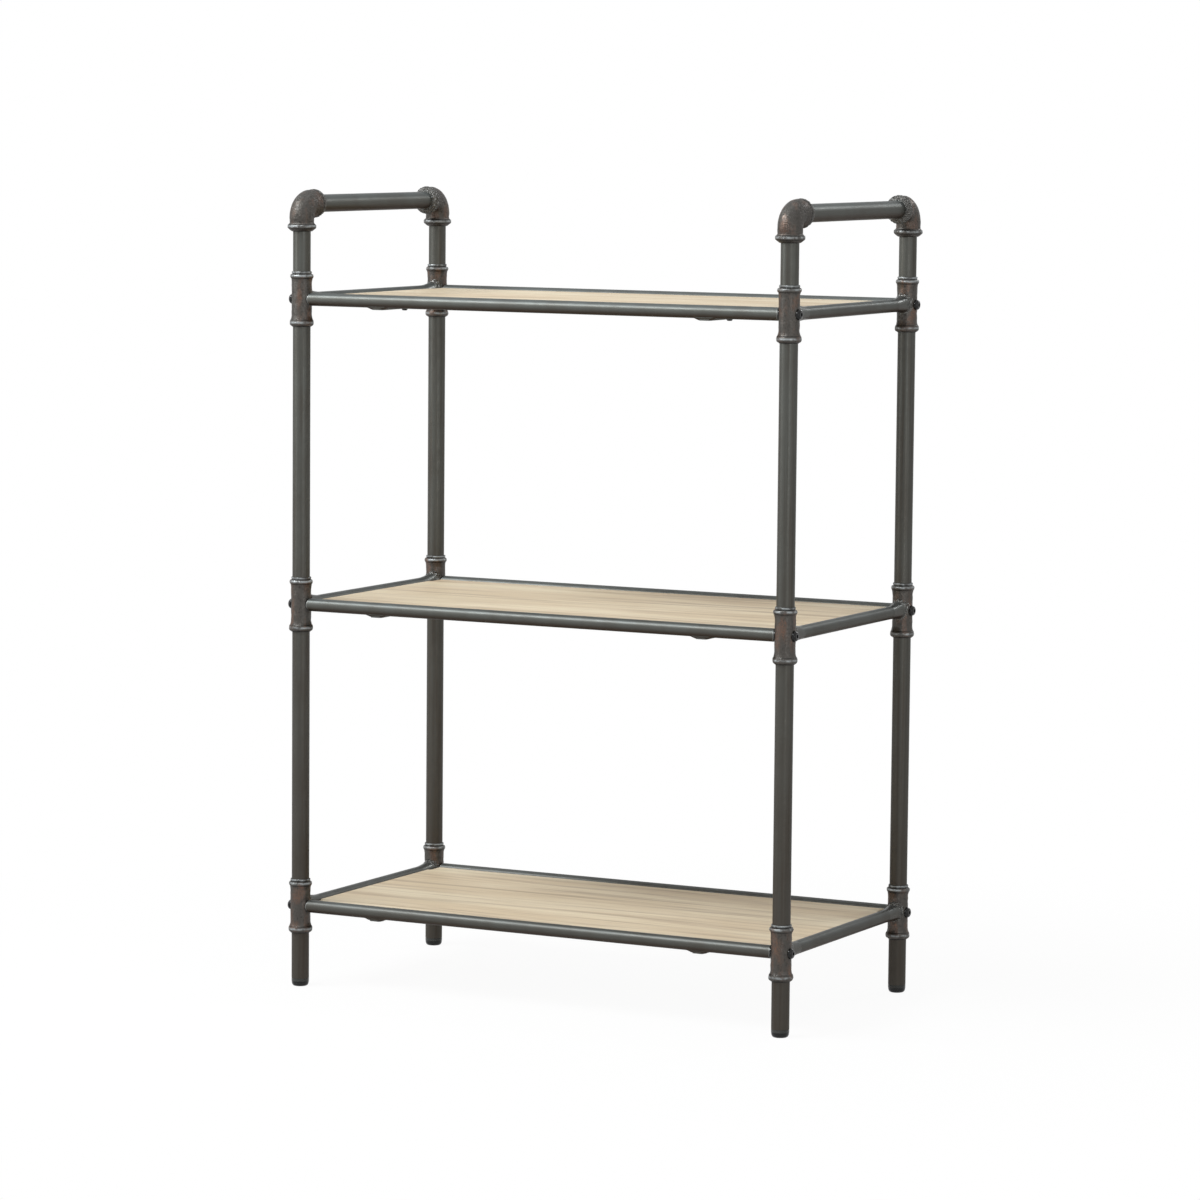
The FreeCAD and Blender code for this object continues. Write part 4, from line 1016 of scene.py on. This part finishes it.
def strap_weld(x, sign, rail_place, rail_radius, parts, seed):
    """A weld that runs from a strap's edges up to the underside of the rail.

    Along the rail its depth eases from the strap's edge to nothing; across the rail it
    follows the tube, and it fades out at both sides.
    """
    half = HALF_STRAP + parts.weld_length
    widest_lean = np.radians(38)
    sunk = 0.05 * MM  # how far its edge lies inside the rail
    root = 0.5 * MM  # how far its root does
    along = np.linspace(-1, 1, 41)
    across = np.linspace(-1, 1, 17)
    lean = widest_lean * across
    fall = np.clip((half - np.abs(along) * half) / parts.weld_length, 0, 1)
    depth = parts.weld_depth * ease(fall)[:, None] * np.cos(across * np.pi / 2) ** 0.7
    sheet = np.broadcast_arrays(along[:, None] * half, lean * rail_radius, 0.0)
    uneven = lumps(np.stack(sheet, -1), 3 * MM, seed)
    lower = rail_radius + depth * (1 + 0.05 * np.clip(uneven, -1, 1)) - sunk
    upper = rail_radius - root + 0 * depth
    section = np.concatenate([lower, upper[:, ::-1]], axis=1)
    turn = np.concatenate([lean, lean[::-1]])
    rings = np.stack([
        np.broadcast_to((x + along * half)[:, None], section.shape),
        rail_place[1] + sign * section * np.sin(turn),
        rail_place[2] - section * np.cos(turn),
    ], -1)
    return ring_shell(rings)


# ------------------------------------------------------------------ operators
class SHELF_OT_pipes(bpy.types.Operator):
    """Finishes the post pipes, handle bars, rails, straps, washers and plugs"""

    bl_idname = "shelf.pipes"
    bl_label = "Pipes and rails"

    def execute(self, context):
        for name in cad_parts:
            if name.endswith(("_pipe", "_post", "_nipple")):
                coat(name, "shelf_pipe")
            elif name.endswith(("_rail", "_handle_bar", "_straps")):
                coat(name, "shelf_rail")
        coat("saddle_washers", "shelf_black")
        coat("threaded_plugs", "shelf_steel")
        return {"FINISHED"}


class SHELF_OT_tees(bpy.types.Operator):
    """Makes the twelve cast tees with their welded branches"""

    bl_idname = "shelf.tees"
    bl_label = "Cast tees"

    def execute(self, context):
        for depth, side in CORNERS:
            for level in LEVELS:
                cast_tee(depth, side, level, context.scene.shelf_tee)
        return {"FINISHED"}


class SHELF_OT_elbows(bpy.types.Operator):
    """Makes the four cast elbows under the handle bars"""

    bl_idname = "shelf.elbows"
    bl_label = "Cast elbows"

    def execute(self, context):
        for depth, side in CORNERS:
            cast_elbow(depth, side, context.scene.shelf_elbow)
        return {"FINISHED"}


class SHELF_OT_bolts(bpy.types.Operator):
    """Makes the twelve hexagon-socket bolts at the rail ends"""

    bl_idname = "shelf.bolts"
    bl_label = "Rail bolts"

    def execute(self, context):
        parts = context.scene.shelf_parts
        low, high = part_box("rail_bolts")
        tee = context.scene.shelf_tee
        post = joint_place("front", "right", "bottom")
        head = post[2] - low[2]
        seat = post[0] + tee.bolt_seat
        tip = seat - BOLT_LENGTH
        shells = [
            rail_bolt(depth, side, level, parts, head, seat, high[0], tip)
            for depth, side in CORNERS for level in LEVELS
        ]
        piece("hex_bolts", shells, finish("shelf_black"), "rail_bolts", crease=35)
        return {"FINISHED"}


class SHELF_OT_screws(bpy.types.Operator):
    """Makes the twelve cross-head screws under the shelves and the strap welds"""

    bl_idname = "shelf.screws"
    bl_label = "Shelf screws and strap welds"

    def execute(self, context):
        parts = context.scene.shelf_parts
        low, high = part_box("shelf_screws")
        strap_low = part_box("bottom_straps")[0]
        rail_radius = outer_radius("front_bottom_rail", 2)
        head = SCREW_HEAD_RADIUS
        x = high[0] - head
        y = high[1] - head
        screws, welds = [], []
        for number, level in enumerate(LEVELS):
            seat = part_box(f"{level}_straps")[0][2]
            crown = seat + low[2] - strap_low[2]
            tip = seat + high[2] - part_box("top_straps")[0][2]
            for sign_x in (-1, 1):
                for sign_y, depth in ((-1, "front"), (1, "rear")):
                    screws.append(shelf_screw(sign_x * x, sign_y * y, parts, head, seat, crown, tip))
                    rail = middle(f"{depth}_{level}_rail")
                    seed = 300 + 10 * number + len(welds)
                    welds.append(strap_weld(sign_x * x, -sign_y, rail, rail_radius, parts, seed))
        piece("cross_screws", screws, finish("shelf_black"), "shelf_screws", crease=35)
        piece("strap_welds", welds, finish("shelf_pipe"), crease=60)
        return {"FINISHED"}


class SHELF_OT_feet(bpy.types.Operator):
    """Makes the four plastic foot glides"""

    bl_idname = "shelf.feet"
    bl_label = "Foot glides"

    def execute(self, context):
        for depth, side in CORNERS:
            foot_glide(depth, side, context.scene.shelf_parts)
        return {"FINISHED"}


class SHELF_OT_boards(bpy.types.Operator):
    """Finishes the three wooden boards"""

    bl_idname = "shelf.boards"
    bl_label = "Boards"

    def execute(self, context):
        for level in LEVELS:
            coat(f"{level}_shelf_board", "shelf_board")
        return {"FINISHED"}


def softbox(name, place, target, width, tall, power, tint):
    """An area lamp of the given size, turned to its target."""
    lamp = bpy.data.lights.new(name, "AREA")
    lamp.shape = "RECTANGLE"
    lamp.size = width
    lamp.size_y = tall
    lamp.energy = power
    lamp.color = tint
    made = bpy.data.objects.new(name, lamp)
    made.location = place
    made.rotation_euler = (Vector(target) - Vector(place)).to_track_quat("-Z", "Y").to_euler()
    bpy.context.scene.collection.objects.link(made)


def plain_shader(tree, kind, shade):
    """A shader node of one colour."""
    node = tree.nodes.new("ShaderNode" + kind)
    node.inputs["Color"].default_value = (*shade, 1)
    return node.outputs[0]


def mix_shaders(tree, amount, first, second):
    """A shader between two shaders."""
    node = tree.nodes.new("ShaderNodeMixShader")
    for socket, given in zip(node.inputs, (amount, first, second)):
        tree.links.new(given, socket)
    return node.outputs[0]


def seen_directly(tree):
    """1 for rays from the camera, mirror-like surfaces and clear ones, else 0."""
    path = tree.nodes.new("ShaderNodeLightPath")
    total = path.outputs["Is Camera Ray"]
    for label in ("Is Glossy Ray", "Is Transmission Ray"):
        both = tree.nodes.new("ShaderNodeMath")
        both.operation = "MAXIMUM"
        tree.links.new(total, both.inputs[0])
        tree.links.new(path.outputs[label], both.inputs[1])
        total = both.outputs[0]
    return total


class SHELF_OT_studio(bpy.types.Operator):
    """Sets up the floor, background, lamps and camera"""

    bl_idname = "shelf.studio"
    bl_label = "Studio"

    def execute(self, context):
        scene = context.scene
        studio = scene.shelf_studio
        self.backdrop(scene, studio, tuple(scene.shelf_finishes.backdrop))
        for lamp in LAMPS:
            softbox(*lamp)
        camera = bpy.data.cameras.new("camera")
        camera.lens = studio.focal_length
        camera.sensor_width = 36  # millimetres
        camera.clip_end = 100  # metres
        stand = bpy.data.objects.new("camera", camera)
        stand.matrix_world = (
            Matrix.Translation((studio.camera_right, -studio.camera_ahead, studio.camera_height))
            @ Matrix.Rotation(studio.camera_turn, 4, "Z")
            @ Matrix.Rotation(math.pi / 2 - studio.camera_tilt, 4, "X")
            @ Matrix.Rotation(studio.camera_roll, 4, "Z")
        )
        scene.collection.objects.link(stand)
        scene.camera = stand
        scene.view_settings.view_transform = "Standard"
        return {"FINISHED"}

    def backdrop(self, scene, studio, white):
        """White floor that shows a little of the shadow near the unit, and a white background."""
        far = FLOOR_HALF
        corners = [(-far, -far, 0), (far, -far, 0), (far, far, 0), (-far, far, 0)]
        mesh = bpy.data.meshes.new("floor")
        mesh.from_pydata(corners, [], [(0, 1, 2, 3)])
        floor = bpy.data.objects.new("floor", mesh)
        scene.collection.objects.link(floor)
        paper = bpy.data.materials.new("paper")
        paper.use_nodes = True
        tree = paper.node_tree
        tree.nodes.remove(tree.nodes["Principled BSDF"])
        matt = plain_shader(tree, "BsdfDiffuse", white)
        bounce = plain_shader(tree, "BsdfDiffuse", [part * studio.floor_bounce for part in white])
        glow = plain_shader(tree, "Emission", white)
        place = tree.nodes.new("ShaderNodeTexCoord")
        reach = tree.nodes.new("ShaderNodeVectorMath")
        reach.operation = "LENGTH"
        tree.links.new(place.outputs["Object"], reach.inputs[0])
        fade = tree.nodes.new("ShaderNodeMapRange")
        fade.interpolation_type = "SMOOTHSTEP"
        span = (*SHADOW_FADE, 1 - studio.floor_shadow, 1)
        for label, given in zip(("From Min", "From Max", "To Min", "To Max"), span):
            fade.inputs[label].default_value = given
        tree.links.new(reach.outputs["Value"], fade.inputs["Value"])
        shown = mix_shaders(tree, fade.outputs[0], matt, glow)
        blend = mix_shaders(tree, seen_directly(tree), bounce, shown)
        tree.links.new(blend, tree.nodes["Material Output"].inputs["Surface"])
        mesh.materials.append(paper)
        world = bpy.data.worlds.new("studio")
        scene.world = world
        world.use_nodes = True
        tree = world.node_tree
        seen = tree.nodes["Background"]
        seen.inputs["Color"].default_value = (*white, 1)
        unseen = plain_shader(tree, "Background", white)
        unseen.node.inputs["Strength"].default_value = studio.ambient
        blend = mix_shaders(tree, seen_directly(tree), unseen, seen.outputs[0])
        tree.links.new(blend, tree.nodes["World Output"].inputs["Surface"])


OPERATORS = (
    SHELF_OT_pipes, SHELF_OT_boards, SHELF_OT_tees, SHELF_OT_elbows, SHELF_OT_bolts,
    SHELF_OT_screws, SHELF_OT_feet, SHELF_OT_studio,
)
SETTINGS = {
    "shelf_tee": TeeSizes,
    "shelf_elbow": ElbowSizes,
    "shelf_parts": FastenerSizes,
    "shelf_finishes": Finishes,
    "shelf_studio": Studio,
}


class SHELF_PT_panel(bpy.types.Panel):
    """The unit's steps and settings, in the 3D view's sidebar"""

    bl_idname = "SHELF_PT_panel"
    bl_label = "Pipe Shelf"
    bl_space_type = "VIEW_3D"
    bl_region_type = "UI"
    bl_category = "Pipe Shelf"

    def draw(self, context):
        for operator in OPERATORS:
            self.layout.operator(operator.bl_idname)
        for name, group in SETTINGS.items():
            box = self.layout.box()
            for setting in group.__annotations__:
                box.prop(getattr(context.scene, name), setting)


def register():
    """Adds the settings, operators and panel."""
    for group in SETTINGS.values():
        bpy.utils.register_class(group)
    for name, group in SETTINGS.items():
        setattr(bpy.types.Scene, name, PointerProperty(type=group))
    for cls in (*OPERATORS, SHELF_PT_panel):
        bpy.utils.register_class(cls)


def unregister():
    """Takes them away again."""
    for cls in (SHELF_PT_panel, *reversed(OPERATORS)):
        bpy.utils.unregister_class(cls)
    for name in SETTINGS:
        delattr(bpy.types.Scene, name)
    for group in reversed(SETTINGS.values()):
        bpy.utils.unregister_class(group)


def main():
    """Runs every step in order."""
    register()
    for operator in OPERATORS:
        family, step = operator.bl_idname.split(".")
        getattr(getattr(bpy.ops, family), step)()


if __name__ == "__main__":
    main()
